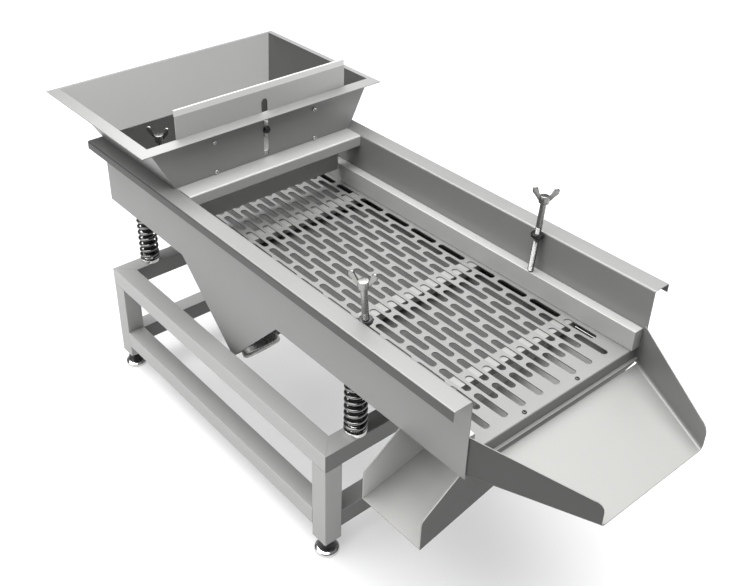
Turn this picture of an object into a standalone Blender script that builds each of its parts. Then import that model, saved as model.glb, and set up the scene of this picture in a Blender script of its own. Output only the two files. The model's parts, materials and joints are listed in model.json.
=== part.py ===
"""Vibrating sieve: a sprung trough with a slotted screen plate, on a square-tube frame.

Metres, +Z up, +X towards the outlet chute. The origin is on the floor, under
the middle of the machine's outer box. Left is -Y, right is +Y.
"""

from math import atan2, ceil, cos, hypot, pi, radians, sin, tan

import bmesh
import bpy
from mathutils import Matrix, Vector

# Driving dimensions, in metres.
GAP = 0.0003              # air between two pieces that touch
SHEET = 0.002             # stainless sheet of the trough, hopper and chutes

TUBE = 0.040              # square tube of the frame
TUBE_WALL = 0.002
FRAME_LENGTH = 0.779
FRAME_WIDTH = 0.5475
FRAME_FRONT = 0.231
FRAME_TOP = 0.270
LOWER_RAIL_DROP = 0.1635  # top of the upper rails to top of the lower rails
FOOT_HEIGHT = 0.0375
FOOT_RADIUS = 0.025
FOOT_STEM_RADIUS = 0.006

SPRING_HEIGHT = 0.137     # frame top to the underside of the trough
SPRING_RADIUS = 0.0225    # outside of the coil
SPRING_WIRE = 0.0055
SPRING_TURNS = 8.5
SPRING_INSET = 0.087      # spring axis, in from the side of the frame
SEAT_HEIGHT = 0.008

FRAME_CLEARANCE = 0.010   # trough side to frame tube
TROUGH_OVERHANG_FRONT = 0.280
TROUGH_OVERHANG_REAR = 0.065
WALL_HEIGHT = 0.159
FLANGE_WIDTH = 0.0384
FLANGE_LIP = 0.0185
BEND = 0.004

EAR_REAR = 0.304          # from the rear of the trough to the bracket
EAR_RUN_REAR = 0.1735
EAR_RUN_FRONT = 0.1559
EAR_DEPTH = 0.1617

DECK_RISE = 0.035         # trough underside to the top of the screen plate
DECK_LIP = 0.023
SLOT_LENGTH = 0.071
SLOT_WIDTH = 0.015
SLOT_PITCH = 0.0823
ROW_PITCH = 0.0215
SLOTS_PER_ROW = 11
SCREEN_FRONT_BAND = 0.0215
BAR_WIDTH = 0.028
BAR_HEIGHT = 0.015
BAR_BACK_FROM_FRONT = (0.7325, 0.3755, 0.1345)

CLAMP_RAIL_WIDTH = 0.0217
CLAMP_RAIL_HEIGHT = 0.0415

SILL_DEPTH = 0.049        # cross plate in front of the hopper
SILL_LIP = 0.024

HOPPER_LENGTH = 0.306
HOPPER_HEIGHT = 0.103
HOPPER_LEAN_SIDE = 0.0535
HOPPER_LEAN_REAR = 0.069
RIM_WIDTH = 0.0200
RIM_DROP = 0.006
RIM_TRIM = 0.0003         # shortens the rear rim, so the outer box is centred

GATE_TOP_ABOVE_RIM = 0.049
GATE_WIDTH = 0.425
GATE_OPENING = 0.028      # screen plate to the lower edge of the gate
GATE_HEM = 0.012
GATE_LIFT = 0.045
GATE_DROP = 0.024
CLAMP_SLOT_WIDTH = 0.0128
CLAMP_BOLT_BELOW_RIM = 0.0395
GUIDE_SCREW_SPACING = 0.255
GUIDE_SCREW_BELOW_RIM = (0.030, 0.0975)

WING_STUD_RADIUS = 0.006
WING_TILT = radians(5.0)
WING_INSET = 0.010        # stud axis to the wall, at the top of the wall
WING_COLLAR_DROP = 0.002
WING_COLLAR_HEIGHT = 0.006
WING_HUB_RISE = 0.077     # top of the hub above the top of the wall
WING_HUB_RISE_REAR = 0.097  # longer, so the wings can be reached in the hopper
WING_SPAN = 0.050
WING_BACK_FROM_FRONT = 0.2525
WING_BEHIND_HOPPER_FRONT = 0.057
WING_TURNS = (radians(30.0), radians(48.0), radians(34.0), radians(20.0))  # at rest

CHUTE_LENGTH = 0.190
CHUTE_TIP_WIDTH = 0.260
CHUTE_WALL_BACK = 0.085
CHUTE_WALL_FRONT = 0.049
CHUTE_FALL = 0.009
CHUTE_BEND = 0.0085

FINES_WIDTH = 0.1395
FINES_REACH = 0.076       # tip beyond the side of the trough
FINES_FALL = 0.112
LEDGE = 0.0065

MOTOR_RADIUS = 0.042
MOTOR_BODY_RADIUS = 0.037
MOTOR_LENGTH = 0.148
MOTOR_COVER = 0.034
MOTOR_HEADROOM = 0.0094   # upper cover to the underside of the trough
MOTOR_AXIS_HEIGHT = 0.045
MOTOR_SIDE_GAP = 0.002
MOTOR_PLATE = 0.006
SHAFT_RADIUS = 0.008

# Positions that follow from them.
FRAME_REAR = FRAME_FRONT - FRAME_LENGTH
FRAME_SIDE = FRAME_WIDTH / 2
TROUGH_BOTTOM = FRAME_TOP + SPRING_HEIGHT
TROUGH_TOP = TROUGH_BOTTOM + WALL_HEIGHT
TROUGH_FRONT = FRAME_FRONT + TROUGH_OVERHANG_FRONT
TROUGH_REAR = FRAME_REAR - TROUGH_OVERHANG_REAR
TROUGH_SIDE = FRAME_SIDE - TUBE - FRAME_CLEARANCE
INNER_SIDE = TROUGH_SIDE - SHEET
FIT_SIDE = INNER_SIDE - GAP
PAN_TOP = TROUGH_BOTTOM + SHEET
PAN_REAR = TROUGH_REAR + SHEET
DECK_TOP = TROUGH_BOTTOM + DECK_RISE
DECK_FRONT = TROUGH_FRONT - 0.0105
DECK_REAR = TROUGH_REAR + 0.012
FINES_BACK = DECK_FRONT - FINES_WIDTH
RAIL_TOP = DECK_TOP + GAP + CLAMP_RAIL_HEIGHT
HOPPER_FRONT = TROUGH_REAR + HOPPER_LENGTH
HOPPER_BOTTOM = TROUGH_TOP + GAP
RIM_TOP = HOPPER_BOTTOM + HOPPER_HEIGHT
GATE_FRONT = HOPPER_FRONT - SHEET - GAP
GATE_BOTTOM = DECK_TOP + GATE_OPENING
GATE_TOP = RIM_TOP + GATE_TOP_ABOVE_RIM
APEX = Vector((TROUGH_REAR + EAR_REAR + EAR_RUN_REAR, 0.0, TROUGH_BOTTOM - EAR_DEPTH))
MOTOR_UP = Vector((-EAR_RUN_REAR, 0.0, EAR_DEPTH)).normalized()
MOTOR_OUT = Vector((EAR_DEPTH, 0.0, EAR_RUN_REAR)).normalized()
MOTOR_SIDE = INNER_SIDE - MOTOR_SIDE_GAP - MOTOR_RADIUS
MOTOR_RISE = EAR_DEPTH - MOTOR_HEADROOM - (MOTOR_AXIS_HEIGHT + MOTOR_RADIUS) * MOTOR_OUT.z
MOTOR_END = MOTOR_RISE / MOTOR_UP.z

SIDES = (("left", -1), ("right", 1))
ENDS = (("front", FRAME_FRONT - TUBE / 2), ("rear", FRAME_REAR + TUBE / 2))


def clear_scene():
    for item in list(bpy.data.objects):
        bpy.data.objects.remove(item, do_unlink=True)


def steel(name, shade, roughness, metallic=0.85):
    material = bpy.data.materials.new(name)
    material.use_nodes = True
    shader = material.node_tree.nodes["Principled BSDF"]
    shader.inputs["Base Color"].default_value = (shade, shade, shade, 1.0)
    shader.inputs["Roughness"].default_value = roughness
    shader.inputs["Metallic"].default_value = metallic
    return material


def new_object(name, bm, material=None, smooth=False):
    """Close the bmesh into a named object with its faces pointing out."""
    bmesh.ops.recalc_face_normals(bm, faces=bm.faces)
    mesh = bpy.data.meshes.new(name)
    bm.to_mesh(mesh)
    bm.free()
    if smooth:
        mesh.shade_smooth()
        mesh.set_sharp_from_angle(angle=radians(40))
    item = bpy.data.objects.new(name, mesh)
    bpy.context.collection.objects.link(item)
    if material is not None:
        mesh.materials.append(material)
    return item


def on_axis(axis, a, b, along):
    """A point from two coordinates across an axis and one along it."""
    if axis == "X":
        return Vector((along, a, b))
    if axis == "Y":
        return Vector((a, along, b))
    return Vector((a, b, along))


def prism(name, outline, axis, low, high, material=None):
    """Extrude a closed outline along an axis, from low to high."""
    bm = bmesh.new()
    face = bm.faces.new([bm.verts.new(on_axis(axis, a, b, low)) for a, b in outline])
    grown = bmesh.ops.extrude_face_region(bm, geom=[face])
    moved = [v for v in grown["geom"] if isinstance(v, bmesh.types.BMVert)]
    bmesh.ops.translate(bm, verts=moved, vec=on_axis(axis, 0.0, 0.0, high - low))
    return new_object(name, bm, material)


def rectangle(a0, a1, b0, b1):
    return [(a0, b0), (a1, b0), (a1, b1), (a0, b1)]


def box(name, x0, x1, y0, y1, z0, z1, material=None):
    return prism(name, rectangle(x0, x1, y0, y1), "Z", z0, z1, material)


def polygon(radius, sides, turn=0.0, a=0.0, b=0.0):
    step = 2 * pi / sides
    points = [turn + step * i for i in range(sides)]
    return [(a + radius * cos(t), b + radius * sin(t)) for t in points]


def obround(centre_a, centre_b, length, width, steps=3):
    """An outline with round ends, its length along the first axis."""
    straight = length / 2 - width / 2
    outline = []
    for sign in (1, -1):
        for i in range(steps + 1):
            turn = -pi / 2 + pi * i / steps
            outline.append(
                (
                    centre_a + sign * (straight + width / 2 * cos(turn)),
                    centre_b + sign * width / 2 * sin(turn),
                )
            )
    return outline


def turned(name, profile, sides, material=None, closed=False):
    """Turn a profile of (radius, height) about the local Z axis."""
    bm = bmesh.new()
    points = [bm.verts.new((r, 0.0, z)) for r, z in profile]
    edges = [bm.edges.new(pair) for pair in zip(points, points[1:])]
    if closed:
        edges.append(bm.edges.new((points[-1], points[0])))
    bmesh.ops.spin(
        bm,
        geom=points + edges,
        cent=(0, 0, 0),
        axis=(0, 0, 1),
        angle=2 * pi,
        steps=sides,
        use_merge=True,
    )
    bmesh.ops.remove_doubles(bm, verts=bm.verts, dist=0.000005)
    return new_object(name, bm, material, smooth=True)


def combine(item, tool, operation):
    """Join a tool to an object, or cut it away, and remove the tool."""
    change = item.modifiers.new("shape", "BOOLEAN")
    change.operation = operation
    change.solver = "EXACT"
    change.object = tool
    bpy.context.view_layer.objects.active = item
    bpy.ops.object.modifier_apply(modifier=change.name)
    bpy.data.objects.remove(tool, do_unlink=True)


def thicken(item):
    """Give an open shell the thickness of the sheet, inwards."""
    thick = item.modifiers.new("sheet", "SOLIDIFY")
    thick.solidify_mode = "NON_MANIFOLD"
    thick.nonmanifold_thickness_mode = "CONSTRAINTS"
    thick.thickness = SHEET
    thick.offset = -1.0
    bpy.context.view_layer.objects.active = item
    bpy.ops.object.modifier_apply(modifier=thick.name)


def join(item, *tools):
    for tool in tools:
        combine(item, tool, "UNION")


def cut(item, *tools):
    for tool in tools:
        combine(item, tool, "DIFFERENCE")


def rounded(path, radius, steps=3):
    """Round the inner corners of an open path with arcs of a bend radius."""
    result = [path[0]]
    for before, corner, after in zip(path, path[1:], path[2:]):
        a = Vector(before) - Vector(corner)
        b = Vector(after) - Vector(corner)
        half = a.angle(b) / 2
        reach = radius / tan(half)
        middle = Vector(corner) + (a.normalized() + b.normalized()).normalized() * (
            radius / sin(half)
        )
        first = Vector(corner) + a.normalized() * reach - middle
        last = Vector(corner) + b.normalized() * reach - middle
        start = atan2(first.y, first.x)
        sweep = (atan2(last.y, last.x) - start + pi) % (2 * pi) - pi
        for i in range(steps + 1):
            turn = start + sweep * i / steps
            result.append((middle.x + radius * cos(turn), middle.y + radius * sin(turn)))
    result.append(path[-1])
    return result


def sheet_outline(path, thickness):
    """Give an open path a thickness to its right, with mitred corners."""
    offset = []
    for i, point in enumerate(path):
        here = Vector(point)
        rights = []
        if i > 0:
            run = here - Vector(path[i - 1])
            rights.append(Vector((run.y, -run.x)).normalized())
        if i < len(path) - 1:
            run = Vector(path[i + 1]) - here
            rights.append(Vector((run.y, -run.x)).normalized())
        side = sum(rights, Vector((0.0, 0.0))).normalized()
        offset.append(tuple(here + side * (thickness / side.dot(rights[0]))))
    return list(path) + offset[::-1]


def place(item, location, x_axis=None, z_axis=None):
    """Stand a locally built piece at its joint, with its axes turned."""
    if z_axis is not None:
        y_axis = z_axis.cross(x_axis)
        turn = Matrix((x_axis, y_axis, z_axis)).transposed()
        item.rotation_euler = turn.to_euler()
    item.location = location
    return item


# Square-tube frame. The four upper rails are mitred, the legs stand under the
# corners and the lower rails are let in between the legs.
def build_frame(material):
    mitre = GAP / 2 * 1.5
    z0 = FRAME_TOP - TUBE
    for side, sign in SIDES:
        outer = sign * FRAME_SIDE
        inner = sign * (FRAME_SIDE - TUBE)
        outline = [
            (FRAME_REAR + mitre, outer),
            (FRAME_FRONT - mitre, outer),
            (FRAME_FRONT - TUBE - mitre, inner),
            (FRAME_REAR + TUBE + mitre, inner),
        ]
        rail = prism(f"upper_rail_{side}", outline, "Z", z0, FRAME_TOP, material)
        low, high = sorted((outer - sign * TUBE_WALL, inner + sign * TUBE_WALL))
        bore = box(
            "bore", FRAME_REAR - 1, FRAME_FRONT + 1, low, high,
            z0 + TUBE_WALL, FRAME_TOP - TUBE_WALL,
        )
        cut(rail, bore)
    for end, centre in ENDS:
        sign = 1 if end == "front" else -1
        outer = centre + sign * TUBE / 2
        inner = centre - sign * TUBE / 2
        outline = [
            (outer, -FRAME_SIDE + mitre),
            (outer, FRAME_SIDE - mitre),
            (inner, FRAME_SIDE - TUBE - mitre),
            (inner, -FRAME_SIDE + TUBE + mitre),
        ]
        rail = prism(f"upper_rail_{end}", outline, "Z", z0, FRAME_TOP, material)
        half = TUBE / 2 - TUBE_WALL
        bore = box(
            "bore", centre - half, centre + half, -FRAME_SIDE - 1, FRAME_SIDE + 1,
            z0 + TUBE_WALL, FRAME_TOP - TUBE_WALL,
        )
        cut(rail, bore)
        for side, side_sign in SIDES:
            build_leg(f"leg_{end}_{side}", centre, side_sign, material)
    build_lower_rails(material)


def build_leg(name, x, side_sign, material):
    """A tube open at the top, closed below by the tapped end plate."""
    y = side_sign * (FRAME_SIDE - TUBE / 2)
    half = TUBE / 2
    top = FRAME_TOP - TUBE - GAP
    leg = box(name, x - half, x + half, y - half, y + half, FOOT_HEIGHT, top, material)
    half -= TUBE_WALL
    bore = box(
        "bore", x - half, x + half, y - half, y + half, FOOT_HEIGHT + 0.003, top + 0.1
    )
    hole_outline = polygon(FOOT_STEM_RADIUS + 0.0006, 12, 0.0, x, y)
    hole = prism("hole", hole_outline, "Z", FOOT_HEIGHT - 0.01, FOOT_HEIGHT + 0.01)
    cut(leg, bore, hole)


def build_lower_rails(material):
    top = FRAME_TOP - LOWER_RAIL_DROP
    bottom = top - TUBE
    half = TUBE / 2 - TUBE_WALL
    for side, sign in SIDES:
        y = sign * (FRAME_SIDE - TUBE / 2)
        x0 = FRAME_REAR + TUBE + GAP
        x1 = FRAME_FRONT - TUBE - GAP
        rail = box(
            f"lower_rail_{side}", x0, x1, y - TUBE / 2, y + TUBE / 2, bottom, top,
            material,
        )
        cut(
            rail,
            box(
                "bore", x0 - 1, x1 + 1, y - half, y + half,
                bottom + TUBE_WALL, top - TUBE_WALL,
            ),
        )
    for end, x in ENDS:
        y1 = FRAME_SIDE - TUBE - GAP
        rail = box(
            f"lower_rail_{end}", x - TUBE / 2, x + TUBE / 2, -y1, y1, bottom, top,
            material,
        )
        cut(
            rail,
            box(
                "bore", x - half, x + half, -y1 - 1, y1 + 1,
                bottom + TUBE_WALL, top - TUBE_WALL,
            ),
        )


# Levelling feet: a domed pad, a hexagon to turn it by and a threaded stem.
def build_feet(material):
    profile = [
        (0.0, 0.0),
        (FOOT_RADIUS - 0.0015, 0.0),
        (FOOT_RADIUS, 0.0015),
        (FOOT_RADIUS, 0.005),
        (FOOT_RADIUS * 0.84, 0.010),
        (FOOT_RADIUS * 0.44, 0.013),
        (FOOT_RADIUS * 0.40, 0.016),
        (FOOT_STEM_RADIUS, 0.018),
        (FOOT_STEM_RADIUS, FOOT_HEIGHT + 0.040),
        (0.0, FOOT_HEIGHT + 0.040),
    ]
    for end, x in ENDS:
        for side, sign in SIDES:
            foot = turned(f"levelling_foot_{end}_{side}", profile, 12, material)
            nut = prism("nut", polygon(0.011, 6), "Z", 0.0185, FOOT_HEIGHT - 0.0075)
            join(foot, nut)
            foot.location = (x, sign * (FRAME_SIDE - TUBE / 2), 0.0)


# Compression springs, each between two turned seats.
def build_springs(spring_material, seat_material):
    foot_z = FRAME_TOP + GAP + SEAT_HEIGHT
    head_z = TROUGH_BOTTOM - GAP - SEAT_HEIGHT * 0.75
    inside = SPRING_RADIUS - SPRING_WIRE
    for end, x in ENDS:
        for side, sign in SIDES:
            y = sign * (FRAME_SIDE - SPRING_INSET)
            profile = [
                (0.0, 0.0),
                (SPRING_RADIUS, 0.0),
                (SPRING_RADIUS, SEAT_HEIGHT),
                (inside - 0.002, SEAT_HEIGHT),
                (inside - 0.004, SEAT_HEIGHT + 0.010),
                (0.0, SEAT_HEIGHT + 0.010),
            ]
            seat = turned(f"spring_seat_lower_{end}_{side}", profile, 12, seat_material)
            seat.location = (x, y, FRAME_TOP + GAP)
            cap_height = SEAT_HEIGHT * 0.75
            profile = [
                (0.0, -cap_height - 0.010),
                (inside - 0.004, -cap_height - 0.010),
                (inside - 0.002, -cap_height),
                (SPRING_RADIUS, -cap_height),
                (SPRING_RADIUS, 0.0),
                (0.0, 0.0),
            ]
            cap = turned(f"spring_seat_upper_{end}_{side}", profile, 12, seat_material)
            cap.location = (x, y, TROUGH_BOTTOM - GAP)
            spring = coil(f"spring_{end}_{side}", foot_z + GAP, head_z - GAP, spring_material)
            spring.location = (x, y, 0.0)


def coil(name, z0, z1, material, per_turn=8, sides=5):
    """Sweep the wire round the coil, with a closed turn at each end."""
    radius = SPRING_RADIUS - SPRING_WIRE / 2
    wire = SPRING_WIRE / 2
    closed_rise = SPRING_WIRE * 1.08
    low = z0 + wire
    high = z1 - wire
    free_rise = (high - low - 2 * closed_rise) / (SPRING_TURNS - 2)
    bm = bmesh.new()
    rings = []
    stations = ceil(SPRING_TURNS * per_turn)
    for i in range(stations + 1):
        turns = SPRING_TURNS * i / stations
        if turns < 1:
            z = low + closed_rise * turns
        elif turns > SPRING_TURNS - 1:
            z = high - closed_rise * (SPRING_TURNS - turns)
        else:
            z = low + closed_rise + free_rise * (turns - 1)
        angle = 2 * pi * turns
        out = Vector((cos(angle), sin(angle), 0.0))
        ring = []
        for j in range(sides):
            t = 2 * pi * j / sides
            centre = out * (radius + wire * cos(t))
            ring.append(bm.verts.new(centre + Vector((0.0, 0.0, z + wire * sin(t)))))
        rings.append(ring)
    for ring, following in zip(rings, rings[1:]):
        for j in range(sides):
            k = (j + 1) % sides
            bm.faces.new((ring[j], ring[k], following[k], following[j]))
    bm.faces.new(rings[0])
    bm.faces.new(rings[-1])
    return new_object(name, bm, material, smooth=True)


# Trough sides: one folded sheet each, with the flange, the bracket ear for the
# motors and the tapped collars of the wing bolts.
def build_side_walls(material):
    ear_rear = TROUGH_REAR + EAR_REAR
    join_z = TROUGH_TOP - 0.018
    for side, sign in SIDES:
        outline = [
            (TROUGH_REAR, join_z + 0.004),
            (TROUGH_REAR, TROUGH_BOTTOM),
            (ear_rear, TROUGH_BOTTOM),
            (APEX.x, APEX.z),
            (APEX.x + EAR_RUN_FRONT, TROUGH_BOTTOM),
            (TROUGH_FRONT, TROUGH_BOTTOM),
            (TROUGH_FRONT, join_z + 0.004),
        ]
        low, high = sorted((sign * INNER_SIDE, sign * TROUGH_SIDE))
        wall = prism(f"side_wall_{side}", outline, "Y", low, high, material)
        path = [
            (INNER_SIDE, join_z),
            (INNER_SIDE, TROUGH_TOP),
            (TROUGH_SIDE + FLANGE_WIDTH, TROUGH_TOP),
            (TROUGH_SIDE + FLANGE_WIDTH, TROUGH_TOP - FLANGE_LIP),
        ]
        flange = sheet_outline(rounded(path, BEND), SHEET)
        flange = [(sign * a, b) for a, b in flange]
        join(wall, prism("flange", flange, "X", TROUGH_REAR, TROUGH_FRONT))
        for x in wing_positions():
            outer = WING_INSET + 0.0025
            low = -WING_COLLAR_DROP - WING_COLLAR_HEIGHT
            high = -WING_COLLAR_DROP
            profile = [(0.0, low), (outer, low), (outer, high), (0.0, high)]
            ring = turned("ring", profile, 14)
            place_on_stud(ring, x, sign, 0.0)
            hole = WING_STUD_RADIUS + 0.0005
            profile = [(0.0, -0.05), (hole, -0.05), (hole, 0.05), (0.0, 0.05)]
            bore = turned("bore", profile, 12)
            place_on_stud(bore, x, sign, 0.0)
            join(wall, ring)
            cut(wall, bore)


def wing_positions():
    return [TROUGH_FRONT - WING_BACK_FROM_FRONT, HOPPER_FRONT - WING_BEHIND_HOPPER_FRONT]


def place_on_stud(item, x, sign, along):
    """Stand a piece on the tilted axis of a wing bolt."""
    item.rotation_euler = (-sign * WING_TILT, 0.0, 0.0)
    item.location = (
        x,
        sign * (INNER_SIDE - WING_INSET + along * sin(WING_TILT)),
        TROUGH_TOP + along * cos(WING_TILT),
    )


# Pan under the screen, folded up at the rear to close the trough.
def build_pan(material):
    outline = [
        (TROUGH_REAR, TROUGH_TOP),
        (TROUGH_REAR, TROUGH_BOTTOM),
        (FINES_BACK + 0.0015, TROUGH_BOTTOM),
        (FINES_BACK + 0.0015, PAN_TOP),
        (PAN_REAR, PAN_TOP),
        (PAN_REAR, TROUGH_TOP),
    ]
    prism("trough_pan", outline, "Y", -FIT_SIDE, FIT_SIDE, material)


# Cross chute for the fines: a sloping floor between two side plates. It runs
# out under the left wall of the trough.
def build_fines_chute(material):
    floor_right = TROUGH_BOTTOM - GAP - 0.0002
    tip = -(TROUGH_SIDE + FINES_REACH)
    slope = FINES_FALL / (FIT_SIDE - tip)
    floor_left = floor_right - FINES_FALL
    top = TROUGH_BOTTOM - 0.0025
    out = TROUGH_SIDE
    ledge_top = DECK_TOP - DECK_LIP - GAP
    floor = [
        (FIT_SIDE, floor_right),
        (FIT_SIDE, floor_right - SHEET),
        (tip, floor_left - SHEET),
        (tip, floor_left),
    ]
    chute = prism("fines_chute", floor, "X", FINES_BACK, DECK_FRONT, material)
    outer = [
        (-out, top),
        (-out - 0.038, top - 0.0255),
        (-out - 0.060, top - 0.0400),
        (-out - 0.069, top - 0.0465),
        (-out - 0.0745, top - 0.0520),
        (tip, top - 0.0600),
        (tip, floor_left - SHEET),
        (FIT_SIDE, floor_right - SHEET),
    ]
    back = outer + [(FIT_SIDE, TROUGH_BOTTOM - GAP), (-FIT_SIDE, TROUGH_BOTTOM - GAP)]
    front = outer + [(FIT_SIDE, ledge_top), (-FIT_SIDE, ledge_top), (-FIT_SIDE, top)]
    plate_back = prism("back", back, "X", FINES_BACK, FINES_BACK + SHEET)
    plate_front = prism("front", front, "X", DECK_FRONT - SHEET, DECK_FRONT)
    ledge = box(
        "ledge", DECK_FRONT - SHEET, DECK_FRONT + LEDGE, -FIT_SIDE, FIT_SIDE,
        ledge_top - SHEET, ledge_top,
    )
    join(chute, plate_back, plate_front, ledge)


# Main chute: a folded tray whose sides close in towards the outlet.
def build_main_chute(material):
    back = DECK_FRONT + LEDGE + GAP
    tip = TROUGH_FRONT + CHUTE_LENGTH
    wide = FIT_SIDE - 0.0002
    narrow = CHUTE_TIP_WIDTH / 2
    floor_back = TROUGH_BOTTOM + 0.001
    floor_tip = floor_back - CHUTE_FALL
    corner = 0.018
    wall = [(-0.02, floor_back), (1.0, floor_tip)]
    reach = hypot(tip - back, CHUTE_WALL_BACK)
    for i in range(5):
        turn = pi / 2 * i / 4
        wall.append(
            (
                1.0 - corner / reach * (1 - cos(turn)),
                floor_tip + CHUTE_WALL_FRONT - corner * (1 - sin(turn)),
            )
        )
    wall.append((-0.02, floor_back + CHUTE_WALL_BACK))
    bm = bmesh.new()
    sides = []
    for sign in (-1, 1):
        verts = []
        for share, z in wall:
            half = wide + (narrow - wide) * share
            verts.append(bm.verts.new((back + (tip - back) * share, sign * half, z)))
        bm.faces.new(verts if sign > 0 else verts[::-1])
        sides.append(verts)
    left, right = sides
    bm.faces.new((left[0], left[1], right[1], right[0]))
    bm.normal_update()
    bmesh.ops.recalc_face_normals(bm, faces=bm.faces)
    folds = [e for e in bm.edges if len(e.link_faces) == 2]
    bmesh.ops.bevel(
        bm, geom=folds, offset=CHUTE_BEND, segments=3, profile=0.5, affect="EDGES",
        clamp_overlap=True,
    )
    mesh = bpy.data.meshes.new("main_chute")
    floor = min(bm.faces, key=lambda f: f.calc_center_median().z)
    if floor.normal.z > 0:
        bmesh.ops.reverse_faces(bm, faces=bm.faces)
    bm.to_mesh(mesh)
    bm.free()
    chute = bpy.data.objects.new("main_chute", mesh)
    bpy.context.collection.objects.link(chute)
    mesh.materials.append(material)
    thicken(chute)
    cut(chute, box("trim", back - 0.1, back, -wide - 1, wide + 1, 0.0, TROUGH_TOP))


# Screen plate with staggered obround slots, folded down at both ends, on three
# cross bars and under two clamp rails.
def slot_rows():
    """Yield the y of each row and the x of its front slot's centre."""
    clear = FIT_SIDE - CLAMP_RAIL_WIDTH
    front_a = DECK_FRONT - SCREEN_FRONT_BAND - SLOT_LENGTH / 2
    front_b = front_a - SLOT_PITCH / 2
    count = int((clear - SLOT_WIDTH / 2 - 0.002 - ROW_PITCH / 2) / ROW_PITCH) + 1
    for k in range(count):
        y = ROW_PITCH / 2 + ROW_PITCH * k
        first, second = (front_a, front_b) if k % 2 else (front_b, front_a)
        yield y, first
        yield -y, second


def build_screen(screen_material, bar_material, rail_material):
    outline = [
        (DECK_REAR, PAN_TOP + GAP),
        (DECK_REAR + SHEET, PAN_TOP + GAP),
        (DECK_REAR + SHEET, DECK_TOP - SHEET),
        (DECK_FRONT - SHEET, DECK_TOP - SHEET),
        (DECK_FRONT - SHEET, DECK_TOP - DECK_LIP),
        (DECK_FRONT, DECK_TOP - DECK_LIP),
        (DECK_FRONT, DECK_TOP),
        (DECK_REAR, DECK_TOP),
    ]
    screen = prism("screen_plate", outline, "Y", -FIT_SIDE, FIT_SIDE, screen_material)
    bm = bmesh.new()
    for y, front in slot_rows():
        for i in range(SLOTS_PER_ROW):
            slot = obround(front - SLOT_PITCH * i, y, SLOT_LENGTH, SLOT_WIDTH)
            verts = [bm.verts.new((a, b, DECK_TOP - 0.012)) for a, b in slot]
            face = bm.faces.new(verts)
            grown = bmesh.ops.extrude_face_region(bm, geom=[face])
            moved = [v for v in grown["geom"] if isinstance(v, bmesh.types.BMVert)]
            bmesh.ops.translate(bm, verts=moved, vec=(0.0, 0.0, 0.024))
    cut(screen, new_object("slots", bm))
    bar_top = DECK_TOP - SHEET - GAP
    for name, back in zip(("rear", "middle", "front"), BAR_BACK_FROM_FRONT):
        x = DECK_FRONT - back
        path = [
            (x - BAR_WIDTH / 2, bar_top - BAR_HEIGHT),
            (x - BAR_WIDTH / 2, bar_top),
            (x + BAR_WIDTH / 2, bar_top),
            (x + BAR_WIDTH / 2, bar_top - BAR_HEIGHT),
        ]
        bar = sheet_outline(path, 0.003)
        prism(f"screen_bar_{name}", bar, "Y", -FIT_SIDE, FIT_SIDE, bar_material)
    for side, sign in SIDES:
        low, high = sorted((sign * FIT_SIDE, sign * (FIT_SIDE - CLAMP_RAIL_WIDTH)))
        x0 = DECK_REAR
        x1 = DECK_FRONT + 0.0025
        bottom = DECK_TOP + GAP
        rail = box(f"clamp_rail_{side}", x0, x1, low, high, bottom, RAIL_TOP, rail_material)
        hollow = box(
            "hollow", x0 + SHEET, x1 - SHEET, low + SHEET, high - SHEET,
            bottom - 0.01, RAIL_TOP - SHEET,
        )
        cut(rail, hollow)


# Cross plate in front of the hopper, with a folded and hemmed front lip.
def build_sill(material):
    back = GATE_FRONT + GAP
    front = back + SILL_DEPTH
    path = rounded(
        [(back, TROUGH_TOP), (front, TROUGH_TOP), (front, TROUGH_TOP - SILL_LIP)],
        BEND,
    )
    sill = prism(
        "hopper_sill", sheet_outline(path, SHEET), "Y", -FIT_SIDE, FIT_SIDE, material
    )
    hem = box(
        "hem", front - 2 * SHEET, front, -FIT_SIDE, FIT_SIDE,
        TROUGH_TOP - SILL_LIP, TROUGH_TOP - SILL_LIP + 0.006,
    )
    join(sill, hem)


# Hopper: an upright front wall, three leaning walls and a sloping rim.
def build_hopper(material):
    foot_side = TROUGH_SIDE + 0.0025
    top_side = foot_side + HOPPER_LEAN_SIDE
    foot_rear = TROUGH_REAR + 0.001
    top_rear = foot_rear - HOPPER_LEAN_REAR
    rings = [
        (foot_rear, HOPPER_FRONT, foot_side, HOPPER_BOTTOM),
        (top_rear, HOPPER_FRONT, top_side, RIM_TOP - SHEET),
        (
            top_rear - RIM_WIDTH + RIM_TRIM,
            HOPPER_FRONT + RIM_WIDTH * 0.9,
            top_side + RIM_WIDTH + 0.0015,
            RIM_TOP - RIM_DROP - SHEET,
        ),
    ]
    bm = bmesh.new()
    loops = []
    for rear, front, side, z in rings:
        corners = [(rear, -side), (front, -side), (front, side), (rear, side)]
        loops.append([bm.verts.new((x, y, z)) for x, y in corners])
    for ring, above in zip(loops, loops[1:]):
        for j in range(4):
            k = (j + 1) % 4
            bm.faces.new((ring[j], ring[k], above[k], above[j]))
    mesh = bpy.data.meshes.new("hopper")
    bm.to_mesh(mesh)
    bm.free()
    hopper = bpy.data.objects.new("hopper", mesh)
    bpy.context.collection.objects.link(hopper)
    mesh.materials.append(material)
    thicken(hopper)
    slot_bottom = HOPPER_BOTTOM + 0.0035
    slot_top = RIM_TOP - 0.014
    slot = obround(
        (slot_bottom + slot_top) / 2, 0.0, slot_top - slot_bottom, CLAMP_SLOT_WIDTH
    )
    slot = [(b, a) for a, b in slot]
    cutters = [prism("slot", slot, "X", HOPPER_FRONT - 0.02, HOPPER_FRONT + 0.01)]
    for y, z in guide_screws():
        hole = polygon(0.0034, 8, 0.0, y, z)
        cutters.append(prism("hole", hole, "X", HOPPER_FRONT - 0.02, HOPPER_FRONT + 0.01))
    cut(hopper, *cutters)


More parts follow.
